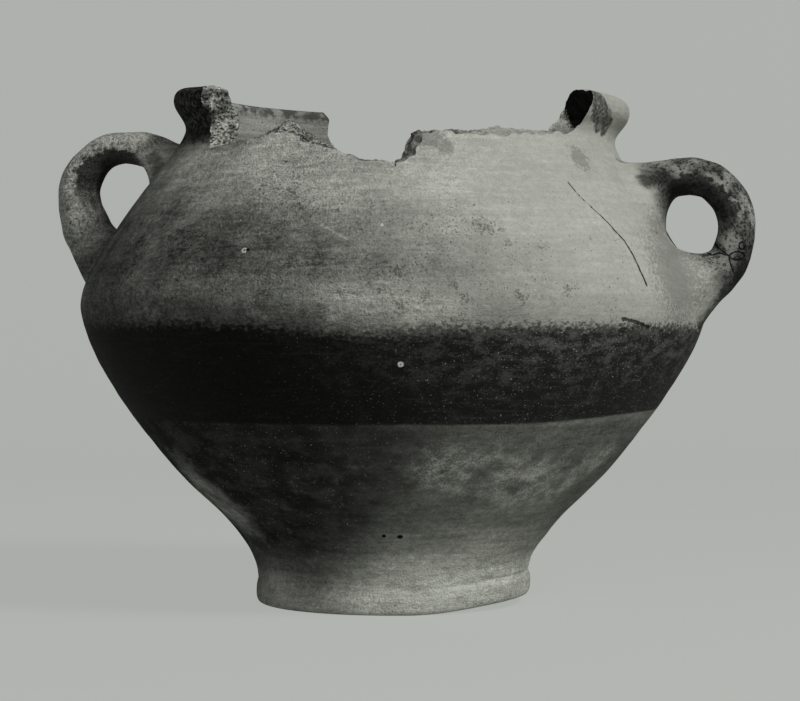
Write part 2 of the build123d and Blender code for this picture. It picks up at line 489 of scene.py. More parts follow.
class Draft:
    """Points and faces of a piece while it is put together, in millimetres."""

    def __init__(self) -> None:
        """Starts an empty draft."""
        self.points: list[Array] = []
        self.faces: list[tuple[int, ...]] = []
        self.zones: list[int] = []
        self.count = 0

    def place(self, points: Array) -> Array:
        """Adds points.

        Args:
            points: Places in an array whose last axis is x, y, z.

        Returns:
            Their numbers, in an array without that axis.
        """
        flat = points.reshape(-1, 3)
        numbers = np.arange(self.count, self.count + len(flat)).reshape(points.shape[:-1])
        self.points.append(flat)
        self.count += len(flat)
        return numbers

    def skin(self, grid: Array, zones: Union[Zone, Sequence[Zone]], closed: bool = False) -> None:
        """Adds the four-sided faces of a grid of points.

        Args:
            grid: Numbers of the points, row by row.
            zones: Finish of the faces, or one for each strip between two rows.
            closed: Whether the last column joins the first.
        """
        if closed:
            grid = np.concatenate([grid, grid[:, :1]], axis=1)
        quads = np.stack([grid[:-1, :-1], grid[:-1, 1:], grid[1:, 1:], grid[1:, :-1]], axis=-1)
        strips = [zones] * len(quads) if isinstance(zones, Zone) else zones
        for strip, zone in zip(quads, strips):
            self.faces.extend(map(tuple, strip.tolist()))
            self.zones.extend([int(zone)] * len(strip))

    def fan(self, centre: Array, ring: Array, zone: Zone) -> None:
        """Closes a ring of points with triangles to a centre.

        Args:
            centre: Place of the centre.
            ring: Numbers of the ring's points in order.
            zone: Finish of the faces.
        """
        hub = int(self.place(np.asarray(centre, float).reshape(1, 3))[0])
        for first, second in zip(ring.tolist(), np.roll(ring, -1).tolist()):
            self.faces.append((hub, first, second))
            self.zones.append(int(zone))

    def cap(self, loop: Array, zone: Zone) -> None:
        """Closes a loop of points with one face."""
        self.faces.append(tuple(loop.tolist()))
        self.zones.append(int(zone))

    def piece(self, name: str, finishes: Sequence[bpy.types.Material]) -> bpy.types.Object:
        """Makes the closed mesh of the draft, smooth but for its creases outside the breaks.

        Args:
            name: Name of the piece.
            finishes: Materials in the order of the zones.

        Returns:
            The new object, linked to the scene.
        """
        mesh = bpy.data.meshes.new(name)
        mesh.from_pydata((np.concatenate(self.points) * MM).tolist(), [], self.faces)
        mesh.polygons.foreach_set("material_index", self.zones)
        mesh.shade_smooth()
        edit = bmesh.new()
        edit.from_mesh(mesh)
        bmesh.ops.recalc_face_normals(edit, faces=edit.faces)
        limit = math.radians(CREASE)
        for edge in edit.edges:
            broken = all(face.material_index == Zone.BREAK for face in edge.link_faces)
            edge.smooth = broken or edge.calc_face_angle(0.0) < limit
        edit.to_mesh(mesh)
        edit.free()
        for finish in finishes:
            mesh.materials.append(finish)
        thing = bpy.data.objects.new(name, mesh)
        bpy.context.scene.collection.objects.link(thing)
        return thing


def profile_normals(profile: Array) -> Array:
    """Outward normals of a profile that rises along its outer side."""
    tangent = unit(np.gradient(profile, axis=0))
    return np.stack([tangent[:, 1], -tangent[:, 0]], axis=1)


def sampled(profile: Array, run: Array, at: Array) -> tuple[Array, Array]:
    """Points and outward normals of a profile at places along it.

    Args:
        profile: Radius and height, one point a row, rising along the outer side.
        run: How far along the profile each of its points lies.
        at: How far along it to take points.

    Returns:
        The points and the normals, in arrays with one more axis, which holds the two parts of each.
    """
    rows = []
    for table in (profile, profile_normals(profile)):
        rows.append(np.stack([np.interp(at, run, column) for column in table.T], axis=-1))
    return rows[0], rows[1]


def turned(section: Array, azimuth: Array) -> Array:
    """Turns points of a section about the Z axis.

    Args:
        section: Distances along the section and heights, in an array whose last axis holds the two.
        azimuth: Azimuths in radians, to go with them.

    Returns:
        The points, in an array whose last axis is x, y, z.
    """
    out = section[..., 0]
    return np.stack([out * np.cos(azimuth), out * np.sin(azimuth), section[..., 1] + 0 * azimuth], axis=-1)


def spun(profile: Array, segments: int) -> tuple[Array, Array]:
    """Turns a profile about the jar's axis.

    Args:
        profile: Radius and height, one point a row, rising along the outer side.
        segments: How many points each ring has.

    Returns:
        The rings of points and of outward normals.
    """
    azimuth = np.linspace(0, TURN, segments, endpoint=False)[None]
    return turned(profile[:, None], azimuth), turned(profile_normals(profile)[:, None], azimuth)


@dataclass
class Walls:
    """The jar's thrown body: foot, lower wall and shoulder."""

    form: JarForm
    finishes: Sequence[bpy.types.Material]
    segments: int = 480
    rows: int = 150
    shoulder_rows: int = 100
    inner_rows: int = 44
    under_rows: int = 20
    edge_rows: int = 12
    side_rows: int = 14
    key_radius: float = 44.0
    key_depth: float = 3.0
    key_margin: float = 1.0
    foot_bulge: float = 0.6
    edge_round: float = 2.8
    edge_drop: float = 2.0
    sole: float = 0.02
    dents: Lumps = Lumps(14, 0.13, 21)
    dents_end: float = 8.0
    hub: float = 3.0

    def foot_section(self) -> Array:
        """Section of the foot from its underside round its soft edge to the seat of the wall.

        Returns:
            Radius and height, one point a row.
        """
        radius = self.form.foot_radius + self.foot_bulge
        top = self.form.foot_height
        floor = top - self.key_depth
        under = np.array([(self.hub, 0.0), (radius - self.edge_round, 0.0)])
        middle = (radius, top / 2)
        edge = bezier([under[-1], (radius, 0), (radius, self.edge_round), middle], self.edge_rows)[1:]
        corner = (radius, top - self.edge_drop)
        side = bezier([middle, corner, (self.form.foot_radius, top)], self.side_rows)[1:]
        seat = np.array([(self.key_radius, top), (self.key_radius, floor), (self.hub, floor)])
        return np.concatenate([evenly(under, self.under_rows), edge, side, seat])

    def build_foot(self) -> bpy.types.Object:
        """Low disc with a soft ridge, warped up at its right edge.

        Returns:
            The new object.
        """
        form = self.form
        rings, _ = spun(self.foot_section(), self.segments)
        out = unit(rings * np.array([1.0, 1.0, 0.0]))
        at_side = np.hypot(rings[..., 0], rings[..., 1]) > self.key_radius + self.key_margin
        at_side = at_side & (rings[..., 2] > self.sole)
        dents = self.dents.at(rings) * (1 - ease(self.dents_end, form.foot_height, rings[..., 2]))
        worked = np.where(at_side, form.uneven(rings) + dents, 0)
        rings = form.settled(rings + out * worked[..., None])
        draft = Draft()
        grid = draft.place(rings)
        draft.skin(grid, Zone.OUTSIDE, closed=True)
        draft.fan(rings[0].mean(axis=0), grid[0], Zone.OUTSIDE)
        draft.fan(rings[-1].mean(axis=0), grid[-1], Zone.OUTSIDE)
        return draft.piece("foot_ring", self.finishes)

    def build_lower(self) -> bpy.types.Object:
        """Bowl from the foot to the belly, with its floor and the key under it.

        Returns:
            The new object.
        """
        form = self.form
        bottom = form.foot_height
        floor = bottom - self.key_depth
        key = [(self.hub, floor), (self.key_radius, floor), (self.key_radius, bottom)]
        under, _ = spun(np.array(key), self.segments)
        outer, normals = spun(evenly(form.lower_outer(), self.rows), self.segments)
        outer += normals * form.uneven(outer)[..., None]
        profile = np.concatenate([form.lower_inner(), form.shoulder_inner()[1:]])
        below, _ = cut_at(profile, form.belly[1] + form.seam_bevel)
        inner, normals = spun(evenly(below, self.inner_rows), self.segments)
        inner += normals * form.uneven_inside(inner)[..., None]
        rings = form.settled(np.concatenate([under, outer, inner[::-1]]))
        zones = [Zone.OUTSIDE] * (len(under) + len(outer) - 1) + [Zone.BREAK]
        zones += [Zone.INSIDE] * (len(inner) - 1)
        draft = Draft()
        grid = draft.place(rings)
        draft.skin(grid, zones, closed=True)
        draft.fan(rings[0].mean(axis=0), grid[0], Zone.OUTSIDE)
        draft.fan(rings[-1].mean(axis=0), grid[-1], Zone.INSIDE)
        return draft.piece("bowl_wall", self.finishes)

    def to_seam(self, profile: Array, rows: int) -> tuple[Array, Array]:
        """Turns a shoulder profile and ends each of its columns at the slanting neck seam.

        Args:
            profile: Radius and height, one point a row.
            rows: How many rings to make.

        Returns:
            The rings of points and of outward normals.
        """
        azimuth = np.linspace(0, TURN, self.segments, endpoint=False)
        over = profile[:, 1] - self.form.seam_at(np.cos(azimuth)[:, None] * profile[:, 0])
        run = run_of(profile)
        end = np.array([np.interp(0.0, column, run) for column in over])
        section, facing = sampled(profile, run, np.linspace(0, 1, rows)[:, None] * end)
        return turned(section, azimuth), turned(facing, azimuth)

    def build_shoulder(self) -> bpy.types.Object:
        """Shoulder between the belly seam and the neck seam.

        Returns:
            The new object.
        """
        form = self.form
        outer, normals = self.to_seam(form.shoulder_outer(), self.shoulder_rows)
        outer += normals * form.uneven(outer)[..., None]
        _, above = cut_at(form.shoulder_inner(), form.belly[1] + form.seam_bevel)
        inner, normals = self.to_seam(above, self.inner_rows)
        inner += normals * form.uneven_inside(inner)[..., None]
        zones = [Zone.OUTSIDE] * (len(outer) - 1) + [Zone.BREAK]
        zones += [Zone.INSIDE] * (len(inner) - 1) + [Zone.BREAK]
        draft = Draft()
        grid = draft.place(np.concatenate([outer, inner[::-1]]))
        draft.skin(np.concatenate([grid, grid[:1]]), zones, closed=True)
        return draft.piece("shoulder_ring", self.finishes)


@dataclass
class NeckSherd:
    """One standing stretch of the broken neck, with the path that its broken edge takes from end to end.

    Where the rim is whole, the path stands at its full height. Towards one end the whole rim may sag a
    little.
    """

    form: JarForm
    name: str
    path: Sequence[Break]
    finishes: Sequence[bpy.types.Material]
    seed: int
    sag: float = 0.0
    sag_between: tuple[float, float] = (0.0, 1.0)
    step: float = 0.9
    rows: int = 44
    inner_rows: int = 26
    across: int = 13
    spread: int = 45
    lip_share: float = 0.94
    lean: float = 1.4
    chip: float = 0.5
    chip_lengths: tuple[float, float] = (4.5, 15.0)
    chip_seeds: tuple[int, int] = (0, 10)
    roughness: float = 0.45
    crumb_lengths: tuple[float, float] = (2.4, 7.0)
    crumb_seeds: tuple[int, int] = (0, 5)
    edge_roughness: float = 0.3
    ridge_share: float = 0.5
    rim_loss: float = 1.5
    whole_within: tuple[float, float] = (1.0, 0.2)
    smooth_ends: int = 8
    least_height: float = 0.4

    def edges(self) -> tuple[Array, Array]:
        """Outer and inner edge at even steps along the path, made ragged where the rim is lost.

        Returns:
            For each edge, rows of an azimuth in radians and a height over the seam.
        """
        form = self.form
        radius = form.neck[0]
        knots = []
        for spot in self.path:
            outer = math.radians(spot.azimuth) * radius
            inner = math.radians(spot.azimuth + spot.skew) * radius
            knots.append((outer, spot.outer, inner, spot.inner))
        line = np.array(knots)
        line = evenly(line, int(run_of(line)[-1] / (self.step * math.sqrt(2))))
        lost = 1 - ease(form.rim_height - self.rim_loss, form.rim_height, line[:, 1])
        lost = lost * ease(0, self.smooth_ends, from_ends(len(line)))
        along = np.zeros((len(line), 3))
        along[:, 0] = np.arange(len(line)) * self.step
        for column in range(line.shape[1]):
            kinds = zip(self.chip_lengths, self.chip_seeds)
            chips = sum(Lumps(size, self.chip, self.seed + more + column).at(along) for size, more in kinds)
            line[:, column] += chips * lost
        line[:, 1::2] = np.clip(line[:, 1::2], self.least_height, form.rim_height)
        line[:, ::2] /= radius
        return line[:, :2], line[:, 2:]

    def upright(self, profile: Array, foot: Array, azimuth: Array, at: Array) -> tuple[Array, Array]:
        """Points of a neck profile over given azimuths, fitted to the shoulder at the seam.

        Args:
            profile: Radius and height over the seam, one point a row.
            foot: Radius at the seam for each column.
            azimuth: Azimuth of each point in radians.
            at: Share of the profile's length at which each point lies.

        Returns:
            The points and their outward normals, in the jar's frame.
        """
        run = run_of(profile) / run_of(profile)[-1]
        section, facing = sampled(profile, run, at)
        section[..., 0] += (foot - profile[0, 0]) * (1 - ease(0, self.form.neck_seam_drop, section[..., 1]))
        first, last = self.sag_between
        sag = self.sag * ease(first, last, np.degrees(azimuth))
        section[..., 1] -= sag * ease(self.form.neck_seam_drop, self.form.rim_height, section[..., 1])
        return self.form.from_neck(turned(section, azimuth)), turned(facing, azimuth)

    def side(
        self, profile: Array, shoulder: Array, edge: Array, base: Array, rows: int
    ) -> tuple[Array, Array, Array]:
        """One face of the sherd, from the seam up to its edge.

        Args:
            profile: Radius and height over the seam of that face.
            shoulder: Profile of the shoulder that it continues.
            edge: Azimuth and height of the edge at each column.
            base: Azimuth of each column at the seam.
            rows: How many rows of points it has.

        Returns:
            The points, their normals, and the strip of its lip from its edge to the top of the rim.
        """
        run = run_of(profile) / run_of(profile)[-1]
        end = np.minimum(np.interp(edge[:, 1], profile[:, 1], run), self.lip_share)
        share = np.linspace(0, 1, rows)[:, None]
        foot = self.form.seam_radius(base, shoulder)
        azimuth = base + (edge[:, 0] - base) * share**self.lean
        points, normals = self.upright(profile, foot, azimuth, share * end)
        over = np.linspace(0, 1, self.across // 2 + 2)[1:, None]
        lip, _ = self.upright(profile, foot, edge[:, 0] + 0 * over, end + (1 - end) * over)
        return points, normals, lip

    def build(self) -> bpy.types.Object:
        """Closed sherd with outer and inner faces, a whole lip where it stands and rough breaks elsewhere.

        Returns:
            The new object.
        """
        form = self.form
        outer_edge, inner_edge = self.edges()
        kernel = np.ones(self.spread) / self.spread
        base = np.convolve(np.pad(outer_edge[:, 0], self.spread // 2, mode="edge"), kernel, mode="valid")
        shoulder = form.shoulder_outer()
        profile = form.neck_profile(shoulder, form.rim_radius)
        outer, normals, outer_lip = self.side(profile, shoulder, outer_edge, base, self.rows)
        shift = normals * form.uneven(outer)[..., None]
        outer, outer_lip = outer + shift, outer_lip + shift[-1]
        shoulder = form.shoulder_inner()
        profile = form.neck_profile(shoulder, form.rim_radius - form.rim_wall)
        inner, normals, inner_lip = self.side(profile, shoulder, inner_edge, base, self.inner_rows)
        shift = normals * form.uneven_inside(inner)[..., None] * self.ridge_share
        inner, inner_lip = inner + shift, inner_lip + shift[-1]
        lower_edge = np.minimum(outer_edge[:, 1], inner_edge[:, 1])
        first, last = self.whole_within
        whole = ease(form.rim_height - first, form.rim_height - last, lower_edge)
        crown = (outer_lip[-1:] + inner_lip[-1:]) / 2
        rolled = np.concatenate([outer_lip[:-1], crown, inner_lip[-2::-1]])
        rough = self.rough_face(outer[-1], inner[-1], len(rolled))
        top = rough + (rolled - rough) * whole[:, None]
        draft = Draft()
        grid = draft.place(np.concatenate([outer, top, inner[::-1]]))
        self.dress(draft, grid, whole > 0.5, self.rows - 1, self.rows + len(rolled))
        return draft.piece(self.name, self.finishes)

    def rough_face(self, outer: Array, inner: Array, count: int) -> Array:
        """Rows of a rough break between two edges.

        Args:
            outer: Points of the outer edge.
            inner: Points of the inner edge.
            count: How many rows lie between them.

        Returns:
            The rows of points.
        """
        share = np.linspace(0, 1, count + 2)[1:-1, None]
        straight = outer + (inner - outer) * share[..., None]
        facing = unit(np.cross(np.gradient((outer + inner) / 2, axis=0), outer - inner))
        kinds = zip(self.crumb_lengths, self.crumb_seeds)
        depth = sum(Lumps(size, self.roughness, self.seed + more).at(straight) for size, more in kinds)
        fade = np.minimum(1, 4 * share * (1 - share) + self.edge_roughness)
        return straight + facing * (depth * fade)[..., None]

    def dress(self, draft: Draft, grid: Array, whole: Array, first: int, last: int) -> None:
        """Adds the faces of the sherd, with rough breaks only where the lip is lost.

        Args:
            draft: Draft that holds the points.
            grid: Numbers of the points, from the outer foot over the top to the inner foot.
            whole: Whether the lip is whole at each column.
            first: Row of the outer edge.
            last: Row of the inner edge.
        """
        draft.skin(grid[: first + 1], Zone.OUTSIDE)
        draft.skin(grid[last:], Zone.INSIDE)
        for column in range(grid.shape[1] - 1):
            zone = Zone.OUTSIDE if whole[column] and whole[column + 1] else Zone.BREAK
            draft.skin(grid[first : last + 1, column : column + 2], zone)
        draft.skin(np.stack([grid[-1], grid[0]]), Zone.BREAK)
        draft.cap(grid[:, 0], Zone.BREAK)
        draft.cap(grid[::-1, -1], Zone.BREAK)


class Ground:
    """The jar's outer surface, on which handles are set."""

    def __init__(self, pieces: Sequence[bpy.types.Object]) -> None:
        """Gathers the surface of finished pieces.

        Args:
            pieces: The pieces that carry handles.
        """
        points: list[Vector] = []
        faces: list[list[int]] = []
        for piece in pieces:
            start = len(points)
            points.extend(vertex.co / MM for vertex in piece.data.vertices)
            faces.extend([start + number for number in face.vertices] for face in piece.data.polygons)
        self.tree = BVHTree.FromPolygons(points, faces)

    def meet(self, start: Array, towards: Array) -> tuple[Array, Array]:
        """First point of the surface on a line.

        Args:
            start: Where the line starts, outside the jar.
            towards: Its direction.

        Returns:
            The point and the surface's normal there.
        """
        point, normal, _, _ = self.tree.ray_cast(Vector(start), Vector(towards))
        if point is None:
            point, normal, _, _ = self.tree.find_nearest(Vector(start))
        return np.array(point), np.array(normal)


@dataclass(frozen=True)
class Root:
    """Where a handle spreads on the wall: a patch of the surface that the limb flows into.

    The patch lies between two points of the wall's profile, each a distance from the axis and a height.
    """

    low: tuple[float, float]
    high: tuple[float, float]
    breadth: float
    pull: float = 0.9
    spread: float = 0.8
    rows: int = 24
    tuck: float = 0.25


@dataclass
class LoopHandle:
    """A hand-rolled loop handle, smeared onto the wall at both ends."""

    side: Side
    stations: Sequence[Station]
    upper: Root
    lower: Root
    seed: int
    segments: int = 96
    between: int = 16
    reach: float = 60.0
    swell: tuple[float, float] = (34.0, 0.4)
    dents: tuple[float, float] = (11.0, 0.15)
    skin_drop: float = 0.3
    smooth_ends: int = 16

    def limb(self) -> Array:
        """Rings of points along the limb, as on the right-hand side.

        Returns:
            The rings in order.
        """
        line = flowing(self.stations, self.between)
        centre = np.stack([line[:, 0], np.zeros(len(line)), line[:, 1]], axis=1)
        tangent = unit(np.gradient(centre, axis=0))
        outward = np.stack([tangent[:, 2], np.zeros(len(line)), -tangent[:, 0]], axis=1)
        angle = np.linspace(0, TURN, self.segments, endpoint=False)
        thick = line[:, 2, None, None] / 2 * np.cos(angle)[:, None] * outward[:, None]
        broad = line[:, 3, None, None] / 2 * np.sin(angle)[:, None] * ACROSS
        return centre[:, None] + thick + broad

    def sided(self, points: Array) -> Array:
        """Moves points of a right-hand handle to the side that this one is on, or back."""
        return points * np.array([self.side.value, 1, 1])

    def smeared(self, root: Root, ground: Ground, ring: Array, flow: Array) -> Array:
        """Rings from the limb's last ring to the patch that it is smeared into.

        Args:
            root: The patch.
            ground: The jar's surface.
            ring: Last ring of the limb.
            flow: Direction in which the limb leaves that ring.

        Returns:
            The rings, from the first after the limb's to the patch's edge, which lies just under the surface.
        """
        low = np.array([root.low[0], 0.0, root.low[1]])
        high = np.array([root.high[0], 0.0, root.high[1]])
        upright = unit(high - low)
        inward = np.cross(upright, ACROSS)
        aim = (low + high) / 2
        offsets = ring - ring.mean(axis=0)
        spoke_y = offsets @ ACROSS
        spoke_z = offsets @ upright
        angle = np.arctan2(spoke_y / np.abs(spoke_y).max(), spoke_z / np.abs(spoke_z).max())
        half = np.linalg.norm(high - low) / 2
        patch = aim + np.outer(np.cos(angle), upright) * half
        patch = patch + np.outer(np.sin(angle), ACROSS) * root.breadth / 2
        met = [ground.meet(self.sided(spot - inward * self.reach), self.sided(inward)) for spot in patch]
        edge = self.sided(np.array([point for point, _ in met]))
        normal = self.sided(np.array([facing for _, facing in met]))
        away = edge - aim
        away = unit(away - (away * normal).sum(axis=1, keepdims=True) * normal)
        edge = edge - normal * root.tuck
        gap = np.linalg.norm(edge - ring, axis=1, keepdims=True)
        at = np.linspace(0, 1, root.rows + 1)[1:, None, None]
        return hermite(ring, edge, flow * gap * root.pull, away * gap * root.spread, at)

    def rings(self, ground: Ground) -> Array:
        """All rings of the handle, from the edge of its upper patch to that of its lower one.

        Args:
            ground: The jar's surface.

        Returns:
            The rings of points.
        """
        limb = self.limb()
        centre = limb.mean(axis=1)
        upper = self.smeared(self.upper, ground, limb[0], unit(centre[0] - centre[1]))[::-1]
        lower = self.smeared(self.lower, ground, limb[-1], unit(centre[-1] - centre[-2]))
        rings = np.concatenate([upper, limb, lower])
        outward = unit(rings - rings.mean(axis=1, keepdims=True))
        worked = Lumps(*self.swell, self.seed).at(rings) + Lumps(*self.dents, self.seed + 1).at(rings)
        inside = ease(0, self.smooth_ends, from_ends(len(rings)))
        return self.sided(rings + outward * ((worked - self.skin_drop) * inside[:, None])[..., None])

    def piece(self, name: str, rings: Array, finishes: Sequence[bpy.types.Material]) -> bpy.types.Object:
        """Closed piece of a stretch of rings.

        Args:
            name: Name of the piece.
            rings: The rings in order.
            finishes: Materials in the order of the zones.

        Returns:
            The new object.
        """
        draft = Draft()
        grid = draft.place(rings)
        draft.skin(grid, Zone.OUTSIDE, closed=True)
        for row in (0, -1):
            draft.fan(rings[row].mean(axis=0), grid[row], Zone.BREAK)
        return draft.piece(name, finishes)


class Wire:
    """One output socket of a material, on which arithmetic adds Math nodes."""

    def __init__(self, bench: "Bench", socket: Optional[bpy.types.NodeSocket]) -> None:
        """Wraps an output socket of a bench's material."""
        self.bench = bench
        self.socket = socket

    def sister(self, output: str) -> "Wire":
        """Another output of the same node."""
        return Wire(self.bench, self.socket.node.outputs[output])

    def maths(self, operation: str, *values: "Amount") -> "Wire":
        """Adds a Math node on values."""
        return self.bench.add("ShaderNodeMath", {"operation": operation}, dict(enumerate(values)))

    def __add__(self, other: "Amount") -> "Wire":
        """Sum."""
        return self.maths("ADD", self, other)

    def __radd__(self, other: "Amount") -> "Wire":
        """Sum, with the number first."""
        return self.maths("ADD", other, self)

    def __sub__(self, other: "Amount") -> "Wire":
        """Difference."""
        return self.maths("SUBTRACT", self, other)

    def __rsub__(self, other: "Amount") -> "Wire":
        """Difference, with the number first."""
        return self.maths("SUBTRACT", other, self)

    def __mul__(self, other: "Amount") -> "Wire":
        """Product."""
        return self.maths("MULTIPLY", self, other)

    def __rmul__(self, other: "Amount") -> "Wire":
        """Product, with the number first."""
        return self.maths("MULTIPLY", other, self)

    def least(self, other: "Amount") -> "Wire":
        """The smaller of two values."""
        return self.maths("MINIMUM", self, other)

    def most(self, other: "Amount") -> "Wire":
        """The larger of two values."""
        return self.maths("MAXIMUM", self, other)

    def ease(self, low: float, high: float) -> "Wire":
        """Smooth step from 0 to 1.

        Args:
            low: Where it is 0.
            high: Where it is 1, which may be the smaller.

        Returns:
            The step.
        """
        if low > high:
            return 1 - self.ease(high, low)
        limits = {"Value": self, "From Min": low, "From Max": high}
        return self.bench.add("ShaderNodeMapRange", {"interpolation_type": "SMOOTHSTEP"}, limits)


Amount = Union[Wire, float, Sequence[float]]


class Bench:
    """Node tree of one material, and the means to add to it."""

    def __init__(self, name: str) -> None:
        """Starts a material.

        Args:
            name: Name of the material.
        """
        self.material = bpy.data.materials.new(name)
        self.material.use_nodes = True
        self.tree = self.material.node_tree
        self.tree.nodes.clear()

    def add(self, kind: str, settings: dict, inputs: dict, output: Union[int, str] = 0) -> Wire:
        """Adds a node.

        Args:
            kind: Type of the node.
            settings: Its own settings, which are set first.
            inputs: Values or wires by the names or numbers of its sockets.
            output: Name or number of the output to return.

        Returns:
            That output.
        """
        node = self.tree.nodes.new(kind)
        for key, value in settings.items():
            setattr(node, key, value)
        for key, value in inputs.items():
            if isinstance(value, Wire):
                self.tree.links.new(value.socket, node.inputs[key])
            else:
                node.inputs[key].default_value = value
        return Wire(self, node.outputs[output] if node.outputs else None)

    def vector(self, operation: str, *values: Amount, output: str = "Vector") -> Wire:
        """Adds a Vector Math node on values."""
        return self.add("ShaderNodeVectorMath", {"operation": operation}, dict(enumerate(values)), output)

    def dot(self, vector: Amount, direction: Sequence[float]) -> Wire:
        """How far a vector goes in a direction."""
        return self.vector("DOT_PRODUCT", vector, tuple(direction), output="Value")

    def gap(self, first: Amount, second: Amount) -> Wire:
        """Distance between two places."""
        return self.vector("DISTANCE", first, second, output="Value")

    def scaled(self, vector: Amount, amount: Amount) -> Wire:
        """A vector, or the first three parts of a colour, times a number."""
        start = vector if isinstance(vector, Wire) else tuple(vector)[:3]
        return self.add("ShaderNodeVectorMath", {"operation": "SCALE"}, {0: start, "Scale": amount})

    def blend(self, share: Amount, first: Amount, second: Amount) -> Wire:
        """Adds a mix of two colours."""
        return self.add("ShaderNodeMix", {"data_type": "RGBA"}, {0: share, 6: first, 7: second}, 2)


def tone(level: float) -> Colour:
    """Clay grey of a display level, by the display's standard curve.

    Args:
        level: The level, from 0 to 255.

    Returns:
        The colour in scene light.
    """
    share = level / 255
    light = share / 12.92 if share <= 0.04045 else ((share + 0.055) / 1.055) ** 2.4
    red, green, blue = HUE
    return red * light, green * light, blue * light, 1.0


class Surface:
    """Colour and relief of a material while its layers are put on, over places in millimetres."""

    def __init__(self, name: str, colour: Colour) -> None:
        """Starts a material of one colour.

        Args:
            name: Name of the material.
            colour: Colour of the ground.
        """
        self.bench = Bench(name)
        self.place = self.bench.scaled(self.bench.add("ShaderNodeTexCoord", {}, {}, "Object"), 1 / MM)
        self.rise = self.bench.dot(self.place, (0.0, 0.0, 1.0))
        self.aside = self.bench.dot(self.place, sideways())
        self.colour: Amount = colour
        self.height: Amount = 0.0
        self.rough: Amount = 0.9

    def noise(
        self, size: float, detail: float = 3.0, drawn_out: float = 1.0, seed: float = 0.0, crisp: float = 0.58
    ) -> Wire:
        """Noise from 0 to 1.

        Args:
            size: Width of its largest patches in millimetres.
            detail: How many finer layers it has.
            drawn_out: How many times longer they are round the jar than up it.
            seed: Which of many such noises it is.
            crisp: How strong each finer layer is beside the last.

        Returns:
            The value, about a half on average.
        """
        pace = (1 / (size * drawn_out), 1 / (size * drawn_out), 1 / size)
        where = self.bench.vector("MULTIPLY_ADD", self.place, pace, (seed, seed, seed))
        inputs = {"Vector": where, "Scale": 1.0, "Detail": detail, "Roughness": crisp}
        return self.bench.add("ShaderNodeTexNoise", {"noise_dimensions": "3D"}, inputs, "Fac")

    def wander(
        self, reach: float, size: float, detail: float = 3.0, drawn_out: float = 1.0, seed: float = 0.0
    ) -> Wire:
        """Noise about 0, with its reach from end to end."""
        return (self.noise(size, detail, drawn_out, seed) - 0.5) * reach

    def near_spots(self, form: JarForm, spots: Sequence[Spot]) -> Wire:
        """Distance from the nearest of some spots, in their own radii.

        Args:
            form: The jar's form.
            spots: The spots.

        Returns:
            The distance.
        """
        nearest: Optional[Wire] = None
        for spot in spots:
            gap = self.bench.gap(self.place, form.wall_point(spot.azimuth, spot.height)) * (1 / spot.radius)
            nearest = gap if nearest is None else nearest.least(gap)
        return nearest

    def near_line(self, place: Wire, line: Sequence[Place]) -> Wire:
        """Distance in millimetres from a line of straight runs.

        Args:
            place: Places in millimetres.
            line: Points of the line.

        Returns:
            The distance.
        """
        bench = self.bench
        nearest: Optional[Wire] = None
        for start, end in zip(line, line[1:]):
            run = tuple(b - a for a, b in zip(start, end))
            off = bench.vector("SUBTRACT", place, start)
            along = bench.dot(off, run) * (1 / sum(part * part for part in run))
            gap = bench.gap(off, bench.scaled(run, along.most(0.0).least(1.0)))
            nearest = gap if nearest is None else nearest.least(gap)
        return nearest

    def tint(self, mask: Amount, colour: Amount) -> None:
        """Lays a colour over the surface where the mask is 1."""
        self.colour = self.bench.blend(mask, self.colour, colour)

    def shade(self, amount: Wire) -> None:
        """Multiplies the colour by a number."""
        self.colour = self.bench.scaled(self.colour, amount)

    def raise_by(self, amount: Wire) -> None:
        """Adds relief in millimetres."""
        self.height = amount + self.height

    def finish(self) -> bpy.types.Material:
        """Ends the material with its surface.

        Returns:
            The material.
        """
        bench = self.bench
        bump = bench.add("ShaderNodeBump", {}, {"Strength": 1.0, "Distance": MM, "Height": self.height})
        inputs = {
            "Base Color": self.colour,
            "Roughness": self.rough,
            "Normal": bump,
            "Specular IOR Level": SHINE,
        }
        shader = bench.add("ShaderNodeBsdfPrincipled", {}, inputs)
        bench.add("ShaderNodeOutputMaterial", {}, {"Surface": shader})
        return bench.material


